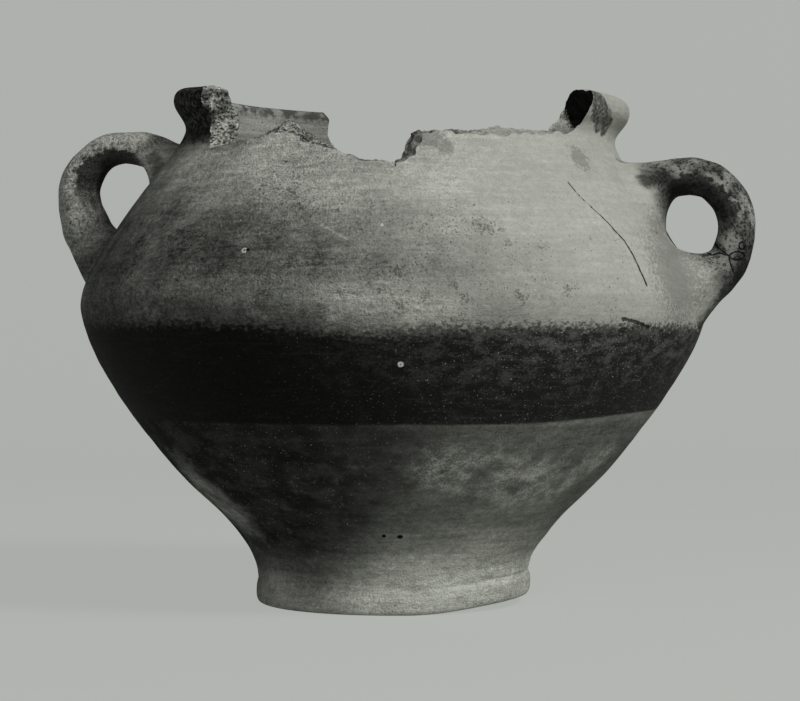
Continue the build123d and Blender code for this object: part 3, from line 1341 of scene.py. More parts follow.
@dataclass(frozen=True)
class WornClay:
    """Unglazed outer clay of the walls, with wheel marks, soot, specks, cracks and worn dark slip, painted
    shade under and over the band, and a painted pool of rim light low on the left.
    """

    form: JarForm
    pale: Colour = tone(160)
    lower: Colour = tone(138)
    foot: Colour = tone(166)
    # Dark of soot, also laid as painted shade over the band's top on the left
    soot_and_shade: Colour = tone(46)
    grime_and_shade: Colour = tone(27)
    # Dark of the grime and painted shade under the band
    speck: Colour = tone(36)
    slip: Colour = tone(15)
    worn_slip: Colour = tone(84)
    grit: Colour = tone(192)
    crack: Colour = tone(18)
    lower_rise: Fade = (96, 88)
    foot_rise: Fade = (42, 14)
    coarse_aside: Fade = (85, -75)
    coarse_rise: Fade = (98, 90)
    stain_aside: Fade = (140, -45)
    stain_rise: Fade = (202, 156)
    stain_front: Fade = (140, 164)
    stain_left: Fade = (-5, -55)
    stain_right: Fade = (15, 55)
    stain_end: Fade = (126, 132)
    stain_share: float = 0.92
    faint_share: float = 0.38
    grime_and_shade_rise: Fade = (30, 72)
    grime_and_shade_end: Fade = (106, 100)
    grime_and_shade_aside: Fade = (75, -25)
    speck_aside: Fade = (90, -70)
    fine_share: float = 0.5
    coarse_share: float = 0.6
    band_low: float = 92.0
    band_top: float = 135.4
    band_worn: Fade = (-70, 95)
    band_warp: float = 4.5
    # Heights between which the soot and painted shade over the band's top on the left comes in
    band_soot_and_shade: Fade = (118, 128)
    band_soot_and_shade_share: float = 0.66
    dust_rise: Fade = (92, 70)
    neck_paint: float = 222.0
    neck_paint_aside: Fade = (-52, -68)
    smear_share: float = 0.38
    scratch_share: float = 0.4
    blotches: Sequence[Spot] = (
        Spot(-59, 180.3, 4.5), Spot(-55.2, 178.6, 2), Spot(-54.6, 171.9, 2), Spot(-36.7, 175.2, 1.6),
        Spot(-73.7, 159.9, 4), Spot(-76.7, 151.2, 2.5), Spot(-83.3, 150.8, 2.4), Spot(-74, 144.7, 3.5),
        Spot(-86.2, 143.9, 2.6), Spot(-97.7, 160.3, 3.2), Spot(-123.3, 192.5, 3.6), Spot(-120, 194, 2.6),
        Spot(-119.8, 186.9, 3.2), Spot(-64.7, 153, 2.6), Spot(-62.8, 147.8, 2.6), Spot(-53.8, 148.4, 3.6),
        Spot(-47.7, 170.8, 2), Spot(-57.5, 179, 3.5), Spot(-45, 152, 3), Spot(-70, 148, 2.4),
    )
    faint: Sequence[Spot] = (
        Spot(-26.5, 214, 7.5), Spot(-3, 215.5, 5), Spot(-66, 221, 7), Spot(-63, 217, 5), Spot(-14, 160, 26),
        Spot(-8, 176, 18),
    )
    dusty: Sequence[Spot] = (
        Spot(-60, 72, 22), Spot(-48, 82, 20), Spot(-42, 64, 24), Spot(-62, 88, 12), Spot(-27, 66, 22),
        Spot(-16, 76, 18), Spot(-36, 58, 18), Spot(-58, 10, 26), Spot(-140, 52, 20), Spot(-134, 3, 18),
    )
    # Spots of painted rim light from the left, low on the left of the lower wall
    painted_rim_light: Sequence[Spot] = (Spot(-138, 46, 20), Spot(-140, 64, 17))
    pits: Sequence[Spot] = (Spot(-100.6, 169.4, 0.9), Spot(-77.8, 38.8, 1.0), Spot(-72.5, 38.3, 1.3))
    chips: Sequence[Spot] = (Spot(-101.2, 169.2, 1.4), Spot(-76.8, 180.4, 0.9), Spot(-73.5, 118.8, 1.5))
    patches: Sequence[Spot] = (
        Spot(-20, 246, 6.5), Spot(-17.5, 241.5, 7), Spot(-14, 238, 6.5), Spot(-10, 235.5, 5.5),
    )
    shoulder_crack: Sequence[tuple[float, float]] = (
        (-34.8, 202.1), (-33.5, 195.5), (-31.6, 190.1), (-29.4, 182.8), (-27.5, 175), (-27, 168.1),
        (-26.7, 161.2), (-26.2, 154.8),
    )
    gouge: Sequence[tuple[float, float]] = ((-32.8, 139.2), (-29.6, 137.9), (-25.5, 135.7))
    smear: Sequence[tuple[float, float]] = ((-125.7, 143), (-120.4, 145.1), (-115.6, 146.7))
    scratch: Sequence[tuple[float, float]] = ((-88.4, 181.6), (-85, 176.9), (-81.9, 172.8))

    def on_wall(self, line: Sequence[tuple[float, float]]) -> list[Place]:
        """Points of the wall at azimuths and heights."""
        return [self.form.wall_point(azimuth, height) for azimuth, height in line]

    def lay_ground(self, surface: Surface) -> None:
        """Lays the mottled, wheel-marked clay, darker below the band and pale at the foot.

        Args:
            surface: The surface.
        """
        wander = surface.wander(22, 14, 4.0, seed=3)
        surface.tint((surface.rise + wander * 0.3).ease(*self.lower_rise), self.lower)
        over_foot = surface.rise + wander + 14 * surface.aside.ease(10, -50)
        surface.tint(over_foot.ease(*self.foot_rise), self.foot)
        clouds = surface.noise(34, 5.0)
        broad = surface.noise(8, 4.0, 6.0, 5.2)
        streaks = surface.noise(1.7, 4.0, 14.0, 1.7)
        grain = surface.noise(0.9, 3.0, seed=7)
        mottle = surface.noise(2.6, 6.0, 1.3, 8)
        tones = (0.4 + 1.2 * clouds) * (0.4 + 1.2 * broad) * (0.5 + streaks)
        tones = tones * (0.25 + 1.5 * grain) * (0.3 + 1.4 * mottle)
        coarse = surface.aside.ease(*self.coarse_aside).most(surface.rise.ease(*self.coarse_rise) * 0.8)
        surface.shade(1 + (tones - 1) * (0.3 + 0.8 * coarse))
        relief = grain * (0.3 + coarse) + mottle * coarse + streaks * 0.3
        surface.raise_by(relief + surface.noise(5, 4.0, seed=9) * 0.5)

    def lay_soot_and_shade(self, surface: Surface, share: Amount = 1.0) -> None:
        """Lays the sooty stain on the shoulder, the grime and painted shade under the band, lightened by a
        painted pool of rim light low on the left, and the blotches between.

        Args:
            surface: The surface.
            share: How much of the stain shows.
        """
        broken = surface.noise(8, 6.0, 1.8, 11).ease(0.34, 0.62)
        drips = surface.noise(60, 1.0, 0.3, 12).ease(0.4, 0.6)
        drift = surface.wander(44, 40, 4.0, seed=10)
        left = (surface.aside + drift).ease(*self.stain_aside)
        stain = (surface.rise + 0.2 * surface.aside + drift * 0.5).ease(*self.stain_rise) * left
        sides = surface.aside.ease(*self.stain_left) * 0.85
        sides = sides.most(surface.aside.ease(*self.stain_right) * 0.9)
        stain = stain * surface.rise.ease(*self.stain_front).most(sides)
        stain = stain * surface.rise.ease(*self.stain_end)
        sandy = surface.noise(1.6, 6.0, 2.2, 15, 0.75).ease(0.36, 0.64)
        stain = stain * (0.72 + 0.13 * broken + 0.15 * drips) * (0.82 + 0.3 * sandy)
        surface.tint(stain * share * self.stain_share, self.soot_and_shade)
        # Grime and painted shade under the band, strongest on the left where the wall faces down
        lower = surface.rise + 34 * surface.aside.ease(20, -40) * surface.rise.ease(80, 45)
        under = lower.ease(*self.grime_and_shade_rise) * surface.rise.ease(*self.grime_and_shade_end)
        under = under * (0.7 + 0.3 * surface.aside.ease(*self.grime_and_shade_aside))
        # Painted rim light from the left lightens the dark under the band there
        painted_rim_light = (surface.near_spots(self.form, self.painted_rim_light) + (broken - 0.5) * 0.3).ease(1.3, 0.2)
        under = under * (0.7 + 0.2 * surface.aside.ease(40, -50) + 0.1 * broken) * (1 - 0.65 * painted_rim_light)
        surface.tint(under, self.grime_and_shade)
        ragged = surface.wander(6, 1.6, 5.0, seed=13)
        blotch = (surface.near_spots(self.form, self.blotches) + ragged).ease(1.1, 0.1)
        surface.tint(blotch * (0.2 + 0.5 * surface.noise(0.9, 3.0, seed=14).ease(0.42, 0.58)), self.soot_and_shade)
        faint = (surface.near_spots(self.form, self.faint) + ragged * 0.4).ease(1.1, 0.6)
        surface.tint(faint * self.faint_share, self.soot_and_shade)

    def lay_specks(self, surface: Surface, share: Amount = 1.0) -> None:
        """Scatters dark specks, thickest to the left, and a little pale grit.

        Args:
            surface: The surface.
            share: How much of the specks shows.
        """
        left = surface.aside.ease(*self.speck_aside)
        crowd = surface.wander(0.3, 22, 4.0, seed=16) + left * 0.1
        crowd = crowd - 0.08 * surface.rise.ease(96, 70) - 0.05 * surface.rise.ease(184, 202)
        fine = (surface.noise(1.0, 3.0, seed=17) + crowd).ease(0.66, 0.71)
        coarse = (surface.noise(3.0, 5.0, 1.4, 19) + crowd * 0.8).ease(0.7, 0.76)
        salt = surface.noise(0.9, 2.0, seed=21).ease(0.67, 0.74)
        surface.tint(fine * share * self.fine_share, self.speck)
        surface.tint(coarse * share * self.coarse_share, self.speck)
        surface.tint(salt * (0.3 + 0.3 * left), self.grit)
        surface.raise_by(fine * -0.2 - coarse * 0.3)

    def lay_band(self, surface: Surface) -> None:
        """Lays the broad band of dark slip, ragged above and worn through in flecks on the right, with soot
        and painted shade over its top on the left.

        Args:
            surface: The surface.
        """
        right = surface.aside.ease(*self.band_worn)
        wander = surface.wander(7, 20, 4.0, 2.0, 23)
        fray = surface.wander(15, 1.5, 5.0, 1.5, 29)
        low = surface.rise - self.band_warp * surface.aside.ease(50, 140) + wander * 0.15 + fray * 0.05
        high = surface.rise - self.band_warp * surface.aside.ease(-10, -75) + wander * 0.4 + fray
        soft = high.ease(self.band_top + 3.5, self.band_top - 6)
        edge = soft + (high.ease(self.band_top + 3, self.band_top - 2) - soft) * right
        band = low.ease(self.band_low - 0.7, self.band_low + 0.7) * edge
        upper = surface.rise.ease(100, 130)
        fleck = surface.noise(4.5, 8.0, 1.9, 31) * 0.6 + surface.noise(0.9, 3.0, 1.5, 32) * 0.4
        fleck = fleck + 0.035 * upper
        worn = fleck.ease(0.46, 0.66) * (0.03 + 0.97 * right) * (0.35 + 0.65 * upper)
        streaks = surface.noise(1.5, 4.0, 16.0, 33)
        surface.tint(band, self.slip)
        surface.tint(band * right * 0.12, self.worn_slip)
        surface.tint(band * worn, self.worn_slip)
        surface.tint(band * streaks.ease(0.55, 0.7) * (0.06 + 0.2 * right), self.worn_slip)
        salt = surface.noise(0.9, 2.0, seed=37).ease(0.66, 0.72)
        surface.tint(band * salt * (0.1 + 0.5 * right), self.grit)
        surface.rough = 0.92 - 0.2 * band * (1 - worn)
        # Soot and painted shade over the band's top on the left, where the belly turns down from the light
        soot_and_shade = high.ease(self.band_top + 16, self.band_top - 2) * surface.rise.ease(*self.band_soot_and_shade)
        soot_and_shade = soot_and_shade * (1 - band)
        soot_and_shade = soot_and_shade * surface.aside.ease(115, -50) * surface.noise(9, 5.0, seed=41).ease(0.3, 0.55)
        surface.tint(soot_and_shade * self.band_soot_and_shade_share, self.soot_and_shade)

    def lay_grit(self, surface: Surface) -> None:
        """Dusts pale grit over the lower wall on the right and over the foot.

        Args:
            surface: The surface.
        """
        below = surface.rise.ease(*self.dust_rise)
        cloud = surface.near_spots(self.form, self.dusty).ease(1.35, 0.3)
        cloud = cloud * surface.noise(12, 6.0, seed=43).ease(0.32, 0.56)
        dust = surface.noise(5.0, 8.0, 1.5, 47) * 0.5 + surface.noise(0.9, 3.0, seed=48) * 0.5
        surface.tint(below * cloud * (0.14 + 0.72 * dust.ease(0.43, 0.62)), self.grit)
        flakes = surface.noise(4.5, 7.0, 1.6, 53).ease(0.57, 0.68)
        flakes = flakes * surface.noise(0.8, 2.0, seed=54).ease(0.35, 0.6)
        surface.tint(below * cloud.most(0.12) * flakes * 0.7, self.grit)

    def lay_neck_paint(self, surface: Surface) -> None:
        """Lays dark paint on the neck, whole on the left and all but gone on the right.

        Args:
            surface: The surface.
        """
        fray = surface.wander(16, 4, 4.0, 1.5, 59)
        neck = (surface.rise + fray).ease(self.neck_paint - 4, self.neck_paint + 6)
        left = (surface.aside + fray * 2).ease(*self.neck_paint_aside)
        patch = (surface.near_spots(self.form, self.patches) + fray * 0.07).ease(1.1, 0.8)
        worn = surface.noise(2.2, 4.0, seed=61).ease(0.34, 0.6)
        surface.tint(neck * left * (0.8 + 0.2 * worn), self.slip)
        surface.tint(patch * (0.45 + 0.45 * worn), self.soot_and_shade)

    def lay_marks(self, surface: Surface) -> None:
        """Cuts the crack, gouge, pits and scratch, and raises the smear of clay.

        Args:
            surface: The surface.
        """
        wander = surface.wander(2.4, 2.0, 3.0, seed=67)
        crack = surface.near_line(surface.place, self.on_wall(self.shoulder_crack)) + wander * 0.5
        crack = crack.ease(0.7, 0.28) * surface.noise(7, 2.0, seed=71).ease(0.28, 0.4)
        gouge = (surface.near_line(surface.place, self.on_wall(self.gouge)) + wander).ease(1.1, 0.3)
        pit = (surface.near_spots(self.form, self.pits) + wander * 0.25).ease(1.1, 0.8)
        ring = surface.near_spots(self.form, self.chips) + wander * 0.15
        chip = ring.ease(1.1, 0.85) * ring.ease(0.3, 0.55)
        smear = (surface.near_line(surface.place, self.on_wall(self.smear)) + wander).ease(3.4, 0.4)
        scratch = (surface.near_line(surface.place, self.on_wall(self.scratch)) + wander).ease(0.9, 0.3)
        surface.tint(scratch * self.scratch_share, self.grit)
        smear = smear * surface.noise(3.0, 5.0, 2.0, 73, 0.7).ease(0.36, 0.6)
        surface.tint(smear * self.smear_share, self.pale)
        surface.tint(chip, self.grit)
        surface.tint((gouge * 0.85).most(crack * 0.92).most(pit), self.crack)
        surface.raise_by(smear * 1.8 - (crack + gouge + pit) * 0.8 - scratch * 0.2)

    def make(self, name: str) -> bpy.types.Material:
        """Makes the material with all its layers.

        Args:
            name: Name of the material.

        Returns:
            The material.
        """
        surface = Surface(name, self.pale)
        self.lay_ground(surface)
        self.lay_soot_and_shade(surface)
        self.lay_specks(surface)
        self.lay_band(surface)
        self.lay_grit(surface)
        self.lay_neck_paint(surface)
        self.lay_marks(surface)
        return surface.finish()


@dataclass(frozen=True)
class HandleClay:
    """Clay of a handle: the wall's, pitted along its limb, dark with painted shade and soot round the top of
    its gap, and cracked at its mend.
    """

    name: str
    clay: WornClay
    limb: Sequence[Place]
    gap: Place
    gap_radius: float
    dirt: float
    pitting: float
    # Share by which the whole limb is brightened as painted light; below 0 it darkens the limb
    lift: float
    smudge_and_shade: float
    # Lines of soot and of painted shade round the roots
    smudge_and_shade_lines: Sequence[Sequence[Place]] = ()
    cracks: Sequence[Sequence[Place]] = ()
    shadows: Sequence[Sequence[Place]] = ()
    limb_reach: Fade = (26, 13)
    shadow_reach: Fade = (16, 3)
    shadow_rise: Fade = (142, 160)
    smudge_and_shade_reach: Fade = (6, 1.5)
    crack_reach: Fade = (0.5, 0.15)
    shadow_share: float = 0.55
    crack_share: float = 0.95
    soot_and_shade_share: float = 0.9
    sight: Place = (-0.117, 0.992, 0.04)
    # Dark of soot and of painted shade round the gap and along the roots
    soot_and_shade: Colour = tone(30)
    pit: Colour = tone(26)
    crack: Colour = tone(12)

    def make(self) -> bpy.types.Material:
        """Makes the material with all its layers.

        Returns:
            The material.
        """
        surface = Surface(self.name, self.clay.pale)
        limb = surface.near_line(surface.place, self.limb).ease(*self.limb_reach)
        self.clay.lay_ground(surface)
        self.clay.lay_soot_and_shade(surface, 1 - limb)
        self.clay.lay_specks(surface, 1 - 0.75 * limb)
        self.clay.lay_band(surface)
        self.lay_pits(surface, limb)
        # Brightens the whole limb as painted light when lift is above 0, as on the left handle, which sits in
        # shade; darkens it when lift is below 0
        surface.shade(1 + self.lift * limb)
        self.lay_soot_and_shade(surface)
        # Soot, and painted shade where shade falls round the roots
        if self.smudge_and_shade_lines:
            smudge_and_shade = self.near_lines(surface, self.smudge_and_shade_lines) + surface.wander(9, 3, 5.0, 2.0, 88)
            surface.tint(smudge_and_shade.ease(*self.smudge_and_shade_reach) * self.smudge_and_shade, self.soot_and_shade)
        if self.shadows:
            shadow = self.near_lines(surface, self.shadows).ease(*self.shadow_reach)
            shadow = shadow * surface.rise.ease(*self.shadow_rise)
            surface.tint(shadow * self.shadow_share, self.soot_and_shade)
        if self.cracks:
            crack = self.near_lines(surface, self.cracks) + surface.wander(0.7, 1.6, 2.0, seed=89)
            crack = crack.ease(*self.crack_reach)
            surface.tint(crack * self.crack_share, self.crack)
            surface.raise_by(crack * -0.6)
        return surface.finish()

    def lay_pits(self, surface: Surface, limb: Wire) -> None:
        """Pits and dirties the limb.

        Args:
            surface: The surface.
            limb: 1 on the limb and 0 on the wall.
        """
        dirt = surface.noise(9, 5.0, seed=81).ease(0.38, 0.58) * limb
        pits = (surface.noise(1.5, 3.0, seed=82) + 0.07 * dirt).ease(0.58, 0.65) * limb
        hollows = (surface.noise(3.6, 4.0, seed=83) + 0.04 * dirt).ease(0.63, 0.69) * limb
        surface.tint((dirt + 0.4 * limb) * self.dirt, self.clay.soot_and_shade)
        surface.tint(pits * self.pitting, self.pit)
        surface.tint(hollows * self.pitting, self.pit)
        surface.raise_by(limb * surface.noise(5, 4.0, seed=84) * 0.8 - pits * 0.35 - hollows * 0.7)

    def lay_soot_and_shade(self, surface: Surface) -> None:
        """Blackens the upper part of the gap's edge with painted shade under the loop's top, and some soot.

        Args:
            surface: The surface.
        """
        flat = surface.bench.vector("MULTIPLY", surface.place, (1.0, 0.0, 1.0))
        ragged = surface.wander(16, 3.5, 5.0, seed=86)
        ring = surface.bench.gap(flat, self.gap) + ragged
        upper = (surface.rise - self.gap[2] + ragged).ease(-13, 6)
        outward = (math.copysign(1.0, self.gap[0]), 0.0, 0.0)
        outer = surface.bench.dot(surface.place, outward) - abs(self.gap[0])
        wide = 3.0 + 6.5 * upper
        shade_and_soot = (ring - wide).ease(self.gap_radius + 1.5, self.gap_radius - 1.5)
        shade_and_soot = shade_and_soot * upper * outer.ease(-18, -9)
        surface.tint(shade_and_soot * self.soot_and_shade_share, self.soot_and_shade)

    def near_lines(self, surface: Surface, lines: Sequence[Sequence[Place]]) -> Wire:
        """Distance in millimetres from the nearest of some lines, as seen along the line of sight.

        Args:
            surface: The surface that they lie on.
            lines: Points of each line.

        Returns:
            The distance.
        """
        bench = surface.bench
        along = bench.scaled(self.sight, bench.dot(surface.place, self.sight))
        seen = bench.vector("SUBTRACT", surface.place, along)
        gaps = [surface.near_line(seen, [self.flattened(point) for point in line]) for line in lines]
        nearest = gaps[0]
        for gap in gaps[1:]:
            nearest = nearest.least(gap)
        return nearest

    def flattened(self, point: Place) -> Place:
        """A point moved along the line of sight to the plane through the origin."""
        along = sum(a * b for a, b in zip(point, self.sight))
        return tuple(a - b * along for a, b in zip(point, self.sight))


@dataclass(frozen=True)
class InnerClay:
    """Thrown inside of the jar, with finger ridges and a dark stripe under the lip."""

    form: JarForm
    pale: Colour = tone(142)
    dull: Colour = tone(108)
    stripe: Colour = tone(58)
    stripe_rise: float = 38.5
    stripe_share: float = 0.85
    speck_share: float = 0.6

    def make(self, name: str) -> bpy.types.Material:
        """Makes the material with all its layers.

        Args:
            name: Name of the material.

        Returns:
            The material.
        """
        surface = Surface(name, self.pale)
        surface.tint(surface.noise(30, 5.0, 3.0).ease(0.35, 0.65), self.dull)
        streaks = surface.noise(2.4, 4.0, 12.0, 4)
        grain = surface.noise(1.1, 3.0, seed=5)
        surface.shade((0.3 + 1.4 * streaks) * (0.35 + 1.3 * grain))
        surface.tint(surface.noise(1.7, 4.0, seed=6).ease(0.6, 0.68) * self.speck_share, self.stripe)
        tilt = math.tan(math.radians(self.form.neck_tilt))
        over = surface.rise + tilt * surface.bench.dot(surface.place, (1.0, 0.0, 0.0)) - self.form.seam_height
        over = over + surface.wander(12, 4, 5.0, seed=9)
        stripe = over.ease(self.stripe_rise - 2, self.stripe_rise + 1)
        stripe = stripe * surface.noise(6, 5.0, seed=14).ease(0.36, 0.56)
        surface.tint(stripe * self.stripe_share, self.stripe)
        surface.raise_by(streaks * 0.6 + grain * 0.3)
        return surface.finish()


@dataclass(frozen=True)
class BrokenClay:
    """Rough clay of the breaks, full of grit and small hollows, and painted black at one end as deep shade,
    with some soot.
    """

    form: JarForm
    pale: Colour = tone(168)
    dull: Colour = tone(96)
    chalk: Colour = tone(110)
    hollow: Colour = tone(18)
    deep_shade: Colour = tone(8)
    deep_shade_spots: Sequence[Spot] = (Spot(-23.5, 250, 15), Spot(-23.5, 242, 12), Spot(-23.5, 236.5, 6))
    chalky: Sequence[Spot] = (Spot(-70, 216, 13), Spot(-80, 213, 14), Spot(-28, 232, 10))
    bleached_aside: Fade = (15, 45)
    bleached_share: float = 0.85
    chalk_share: float = 0.7
    hollow_share: float = 0.9

    def make(self, name: str) -> bpy.types.Material:
        """Makes the material with all its layers.

        Args:
            name: Name of the material.

        Returns:
            The material.
        """
        surface = Surface(name, self.pale)
        surface.tint(surface.noise(5, 5.0, seed=1).ease(0.4, 0.6), self.dull)
        lumps = surface.noise(1.1, 4.0, seed=3)
        bleached = surface.aside.ease(*self.bleached_aside)
        surface.shade(3 * lumps - 0.5)
        chalky = surface.near_spots(self.form, self.chalky).ease(1.2, 0.6)
        hollows = surface.noise(1.4, 5.0, seed=5).ease(0.47, 0.39) * (1 - 0.8 * bleached.most(chalky))
        surface.tint(bleached * self.bleached_share, self.pale)
        surface.tint(chalky * self.chalk_share, self.chalk)
        surface.tint(hollows * self.hollow_share, self.hollow)
        # Painted deep shade, with some soot, on the right sherd's near broken end
        deep_shade_mask = surface.near_spots(self.form, self.deep_shade_spots) + (lumps - 0.5) * 0.6
        surface.tint(deep_shade_mask.ease(1.15, 0.95), self.deep_shade)
        surface.raise_by(lumps * 1.2 - hollows * 0.8)
        return surface.finish()


@dataclass(frozen=True)
class Lamp:
    """An area lamp that faces the jar.

    It stands some degrees to the right of the camera and over the level. Its distance and its width are in
    metres and its power is in watts.
    """

    name: str
    azimuth: float
    elevation: float
    distance: float
    size: float
    power: float


@dataclass
class Studio:
    """Camera, lamps, pale floor and backdrop, in metres but for the sensor and the lens in millimetres."""

    distance: float = 1.125
    height: float = 0.1275
    aside: float = 0.0035
    sensor: float = 36.0
    lens: float = 101.25
    shift_y: float = -0.0069
    lamps: Sequence[Lamp] = (
        Lamp("key", azimuth=44.0, elevation=40.0, distance=2.2, size=0.6, power=41.0),
        Lamp("fill", azimuth=-25.0, elevation=12.0, distance=2.0, size=1.2, power=10.0),
    )
    world: float = 0.03
    paper: Colour = (0.463, 0.481, 0.455, 1.0)
    paper_glow: float = 0.85
    floor_reach: float = 4.0
    bend_start: float = 1.2
    bend_radius: float = 0.6
    bend_first: float = 0.1
    bend_rows: int = 12

    def place_camera(self) -> None:
        """Sets a level camera at the height and distance of the portrait."""
        data = bpy.data.cameras.new("portrait")
        data.sensor_fit = "HORIZONTAL"
        data.sensor_width = self.sensor
        data.lens = self.lens
        data.shift_y = self.shift_y
        camera = bpy.data.objects.new("portrait", data)
        camera.location = Vector(forwards()) * self.distance + Vector(sideways()) * self.aside
        camera.location.z = self.height
        camera.rotation_euler = (math.pi / 2, 0, math.radians(FACING))
        bpy.context.scene.collection.objects.link(camera)
        bpy.context.scene.camera = camera

    def place_lamp(self, lamp: Lamp) -> None:
        """Sets a lamp.

        Args:
            lamp: The lamp.
        """
        data = bpy.data.lights.new(lamp.name, "AREA")
        data.shape = "DISK"
        data.size = lamp.size
        data.energy = lamp.power
        thing = bpy.data.objects.new(lamp.name, data)
        turn, lift = math.radians(lamp.azimuth), math.radians(lamp.elevation)
        level = Vector(forwards()) * math.cos(turn) + Vector(sideways()) * math.sin(turn)
        away = level * math.cos(lift) + Vector((0, 0, math.sin(lift)))
        thing.location = away * lamp.distance + Vector((0, 0, self.height))
        thing.rotation_euler = away.to_track_quat("Z", "Y").to_euler()
        bpy.context.scene.collection.objects.link(thing)

    def place_floor(self) -> None:
        """Sets a pale floor that curves up into a backdrop."""
        bench = Bench("pale_paper")
        path = bench.add("ShaderNodeLightPath", {}, {}, "Is Camera Ray")
        seen = path.most(path.sister("Is Glossy Ray")).most(path.sister("Is Transmission Ray"))
        matt = bench.add("ShaderNodeBsdfDiffuse", {}, {"Color": self.paper})
        glow = bench.add("ShaderNodeEmission", {}, {"Color": self.paper, "Strength": 1.0})
        mixed = bench.add("ShaderNodeMixShader", {}, {0: seen * self.paper_glow, 1: matt, 2: glow})
        bench.add("ShaderNodeOutputMaterial", {}, {"Surface": mixed})
        reach, start, radius = self.floor_reach, -self.bend_start, self.bend_radius
        bend = [(reach, 0.0), (start, 0.0)]
        for turn in np.linspace(self.bend_first, math.pi / 2, self.bend_rows).tolist():
            bend.append((start - radius * math.sin(turn), radius - radius * math.cos(turn)))
        bend.append((start - radius, reach))
        points = []
        for ahead, up in bend:
            for aside in (-reach, reach):
                points.append(Vector(forwards()) * ahead + Vector(sideways()) * aside + Vector((0, 0, up)))
        faces = [(2 * k, 2 * k + 1, 2 * k + 3, 2 * k + 2) for k in range(len(bend) - 1)]
        mesh = bpy.data.meshes.new("floor")
        mesh.from_pydata(points, [], faces)
        mesh.shade_smooth()
        mesh.materials.append(bench.material)
        floor = bpy.data.objects.new("floor", mesh)
        bpy.context.scene.collection.objects.link(floor)

    def light(self) -> None:
        """Sets the world and the lamps at a plain level."""
        world = bpy.data.worlds.new("room")
        world.use_nodes = True
        ground = world.node_tree.nodes["Background"]
        ground.inputs["Color"].default_value = (1.0, 1.0, 1.0, 1.0)
        ground.inputs["Strength"].default_value = self.world
        bpy.context.scene.world = world
        for lamp in self.lamps:
            self.place_lamp(lamp)


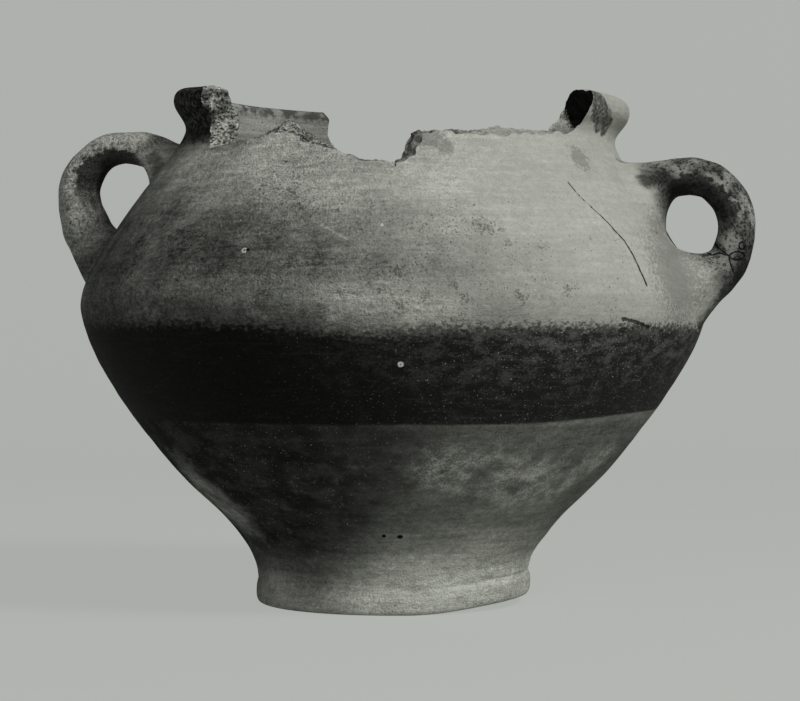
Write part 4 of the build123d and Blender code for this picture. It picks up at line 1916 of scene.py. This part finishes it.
@dataclass
class Jar:
    """The whole jar, piece by piece."""

    form: JarForm
    near_side: float = -10.5
    ring_points: int = 11

    def left_path(self) -> list[Break]:
        """Broken edge of the left sherd, from the front notch round by the left to the back notch.

        Returns:
            The points of the edge in order.
        """
        full = self.form.rim_height
        return [
            Break(-75.9, 0.5, 0.5), Break(-76.2, 2.4, 2.4), Break(-80, 2.9, 2.9), Break(-84, 3.6, 3.6),
            Break(-86.8, 5, 5), Break(-91.8, 9.1, 9.4), Break(-97.7, 11.6, 14.5),
            Break(-100.5, 13.8, 18.5, -1), Break(-103, 15.6, 22.0, -3), Break(-105, 15.9, 23.6, -3),
            Break(-108, 15.2, 20.5, -3), Break(-111, 13.8, 16, -2), Break(-116, 12.2, 13),
            Break(-122, 11.6, 12), Break(-126.5, 11.2, 11.4, 3), Break(-129.5, 14.5, 14, 3),
            Break(-132.5, 21, 20, 5), Break(-133, 29, 28, 5), Break(-132, 36, 36, 3),
            Break(-131.5, full - 2, full - 2, 1.5), Break(-133, full, full), Break(-228.6, full, full),
            Break(-230.4, full - 1.5, full - 1.5), Break(-231.6, 38, 38), Break(-230.6, 33, 33),
            Break(-232.4, 27, 26.5), Break(-231.4, 20, 20), Break(-233.6, 14, 14), Break(-236, 10.5, 11),
            Break(-242, 9, 10), Break(-247, 5, 5), Break(-250.4, 0.5, 0.5),
        ]

    def right_path(self) -> list[Break]:
        """Broken edge of the right sherd, from the front notch round by the right to the back notch.

        Returns:
            The points of the edge in order.
        """
        full = self.form.rim_height
        return [
            Break(-75.8, 0.5, 0.5), Break(-75.6, 2.4, 2.4), Break(-73.6, 3.4, 4.2, -1),
            Break(-71.6, 7, 8.5, -2), Break(-70.2, 12, 14, -2.5), Break(-68.6, 17, 17.8, -2.5),
            Break(-66.5, 17.6, 18.4, -1.5), Break(-62, 16.6, 19), Break(-55, 16.8, 20), Break(-50, 17.4, 21),
            Break(-47.5, 18, 23), Break(-44, 18.2, 21.5), Break(-36, 19.6, 21.5), Break(-29, 21.2, 22),
            Break(-26, 23.2, 24, -2), Break(-23.6, 26, 25.5, -3.6), Break(-22.8, 29, 29, -2),
            Break(-22.9, 34, 34, -1.4), Break(-22.7, 38, 38, -1), Break(-22.3, full - 1.5, full - 1.5, -0.6),
            Break(-20.6, full, full), Break(45, full, full), Break(46.8, 38, 38), Break(47.4, 26, 26),
            Break(47.8, 13, 12), Break(53, 11.5, 12), Break(62, 10.5, 11), Break(71, 11, 11.5),
            Break(80, 12.5, 12.5), Break(86, 13, 12), Break(91, 7, 6.5), Break(95, 2, 2),
            Break(96.4, 0.5, 0.5),
        ]

    def left_handle(self) -> LoopHandle:
        """The left handle, higher and thicker than the right one.

        Returns:
            The handle.
        """
        stations = [
            Station(133, 228.2, 18.5, 25.5), Station(144.5, 229.4, 16.6, 24), Station(155.5, 226.6, 17.5, 24),
            Station(164, 219.2, 19.5, 24.5), Station(168.6, 209.5, 21, 25), Station(168.4, 199, 22.5, 25),
            Station(165, 189, 25, 26),
        ]
        upper = Root((131, 196), (109, 235), 52)
        lower = Root((155, 138), (143.5, 186), 48)
        return LoopHandle(Side.LEFT, stations, upper, lower, seed=60)

    def right_handle(self) -> LoopHandle:
        """The right handle, with the break where it was mended low on its limb.

        Returns:
            The handle.
        """
        stations = [
            Station(143, 208.6, 18.8, 24.5), Station(150, 209, 18.2, 23.5), Station(159, 206.4, 18, 23),
            Station(166.4, 199.4, 18, 22.5), Station(170.6, 190, 18.2, 22.5), Station(171, 180.5, 18.5, 23),
            Station(168.6, 172, 19.5, 23.5),
        ]
        upper = Root((141, 181), (117, 222), 60)
        lower = Root((155, 133), (142, 177), 60)
        return LoopHandle(Side.RIGHT, stations, upper, lower, seed=70)

    def left_clay(self, clay: WornClay, limb: Sequence[Station]) -> HandleClay:
        """Clay of the left handle, with painted shadow on the wall at its upper root.

        Args:
            clay: Clay of the walls.
            limb: The handle's stations.

        Returns:
            The clay.
        """
        near = self.near_side
        return HandleClay(
            "left_handle_clay",
            clay,
            limb=[(-station.out, 0.0, station.up) for station in limb],
            gap=(-145.0, 0.0, 206.0),
            gap_radius=13.5,
            dirt=0.0,
            pitting=0.4,
            # Painted light on the left handle, which sits in shade
            lift=0.25,
            smudge_and_shade=0.6,
            # Painted shadow on the wall at the upper root
            smudge_and_shade_lines=[[(-122.5, near, 222.0), (-118.0, near, 216.5), (-119.5, near, 209.5)]],
        )

    def right_clay(self, clay: WornClay, limb: Sequence[Station]) -> HandleClay:
        """Clay of the right handle, with soot at its upper root, painted shade along the lower edge of its
        lower root, and cracked across its limb.

        Args:
            clay: Clay of the walls.
            limb: The handle's stations.

        Returns:
            The clay.
        """
        near = self.near_side
        turn = np.linspace(0, TURN, self.ring_points)
        cracks = [
            [(160.5, near, 178.1), (162.4, near, 175.2), (165.3, near, 172.3), (168.6, near, 169.9)],
            [(157.2, near, 171.9), (160.5, near, 170.4), (163.9, near, 171.4), (168.6, near, 169.9)],
            [(168.6, near, 169.9), (168.9, near, 167.4), (169.5, near, 165.6), (170.5, near, 162.2)],
            [(172.4 + 3.6 * math.cos(a), near, 169.8 + 2.0 * math.sin(a)) for a in turn.tolist()],
            [(174.8 + 1.5 * math.cos(a), near, 174.6 + 1.7 * math.sin(a)) for a in turn[2:].tolist()],
        ]
        # The first line is soot at the upper root; the other two are painted shade along the lower root's
        # lower edge
        smudge_and_shade_lines = [
            [(128.8, near, 206.9), (134.5, near, 207.3), (139.5, near, 206.6), (145.2, near, 202.7)],
            [
                (178.5, near, 166.0), (172.6, near, 156.8), (166.4, near, 148.1), (161.0, near, 141.4),
                (153.0, near, 131.0),
            ],
            [(181.0, near, 163.0), (175.0, near, 153.5), (168.5, near, 145.0), (162.0, near, 136.0)],
        ]
        return HandleClay(
            "right_handle_clay",
            clay,
            limb=[(station.out, 0.0, station.up) for station in limb],
            gap=(150.5, 0.0, 186.0),
            gap_radius=13.5,
            dirt=0.52,
            pitting=0.75,
            lift=-0.2,
            smudge_and_shade=0.85,
            smudge_and_shade_lines=smudge_and_shade_lines,
            cracks=cracks,
            shadows=smudge_and_shade_lines[1:2],
        )

    def adopt(self, piece: bpy.types.Object, node: str) -> None:
        """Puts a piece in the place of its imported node.

        Args:
            piece: The piece.
            node: Name of the node.
        """
        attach(piece, "root")
        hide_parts(node)

    def build(self) -> list[bpy.types.Object]:
        """Builds every piece and puts it in its place.

        Returns:
            The pieces in order.
        """
        form = self.form
        clay = WornClay(form)
        inside = InnerClay(form).make("inner_clay")
        broken = BrokenClay(form).make("broken_clay")
        finishes = [clay.make("worn_clay"), inside, broken]
        walls = Walls(form, finishes)
        foot = walls.build_foot()
        lower = walls.build_lower()
        shoulder = walls.build_shoulder()
        left = NeckSherd(
            form, "left_neck", self.left_path(), finishes, seed=30, sag=3.2, sag_between=(-165.0, -131.0)
        ).build()
        right = NeckSherd(form, "right_neck", self.right_path(), finishes, seed=90).build()
        ground = Ground([lower, shoulder, left, right])
        handle = self.left_handle()
        coats = [self.left_clay(clay, handle.stations).make(), inside, broken]
        left_loop = handle.piece("left_loop", handle.rings(ground), coats)
        handle = self.right_handle()
        coats = [self.right_clay(clay, handle.stations).make(), inside, broken]
        rings = handle.rings(ground)
        mend = len(rings) - handle.lower.rows - 1
        right_loop = handle.piece("right_loop", rings[: mend + 1], coats)
        right_stub = handle.piece("right_stub", rings[mend:], coats)
        places = [
            (foot, "foot", "fired_clay"),
            (lower, "lower_wall", "banded_clay"),
            (shoulder, "shoulder_wall", "fired_clay"),
            (left, "neck_left_sherd", "painted_clay"),
            (right, "neck_right_sherd", "fired_clay"),
            (left_loop, "left_handle", "fired_clay"),
            (right_loop, "right_handle_loop", "fired_clay"),
            (right_stub, "right_handle_root", "fired_clay"),
        ]
        for piece, node, slot in places:
            self.adopt(piece, node)
        return [piece for piece, _, _ in places]


def corners(box: tuple[Vector, Vector]) -> list[list[float]]:
    """Plain numbers of a box's two corners."""
    return [list(corner) for corner in box]


def main() -> None:
    """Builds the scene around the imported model."""
    logging.basicConfig(level=logging.INFO, format="%(name)s: %(message)s")
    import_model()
    bpy.context.scene.view_settings.view_transform = "Standard"
    studio = Studio()
    studio.place_camera()
    studio.place_floor()
    studio.light()
    for piece in Jar(JarForm()).build():
        LOG.info("%s: %d faces", piece.name, len(piece.data.polygons))


if __name__ == "__main__":
    main()
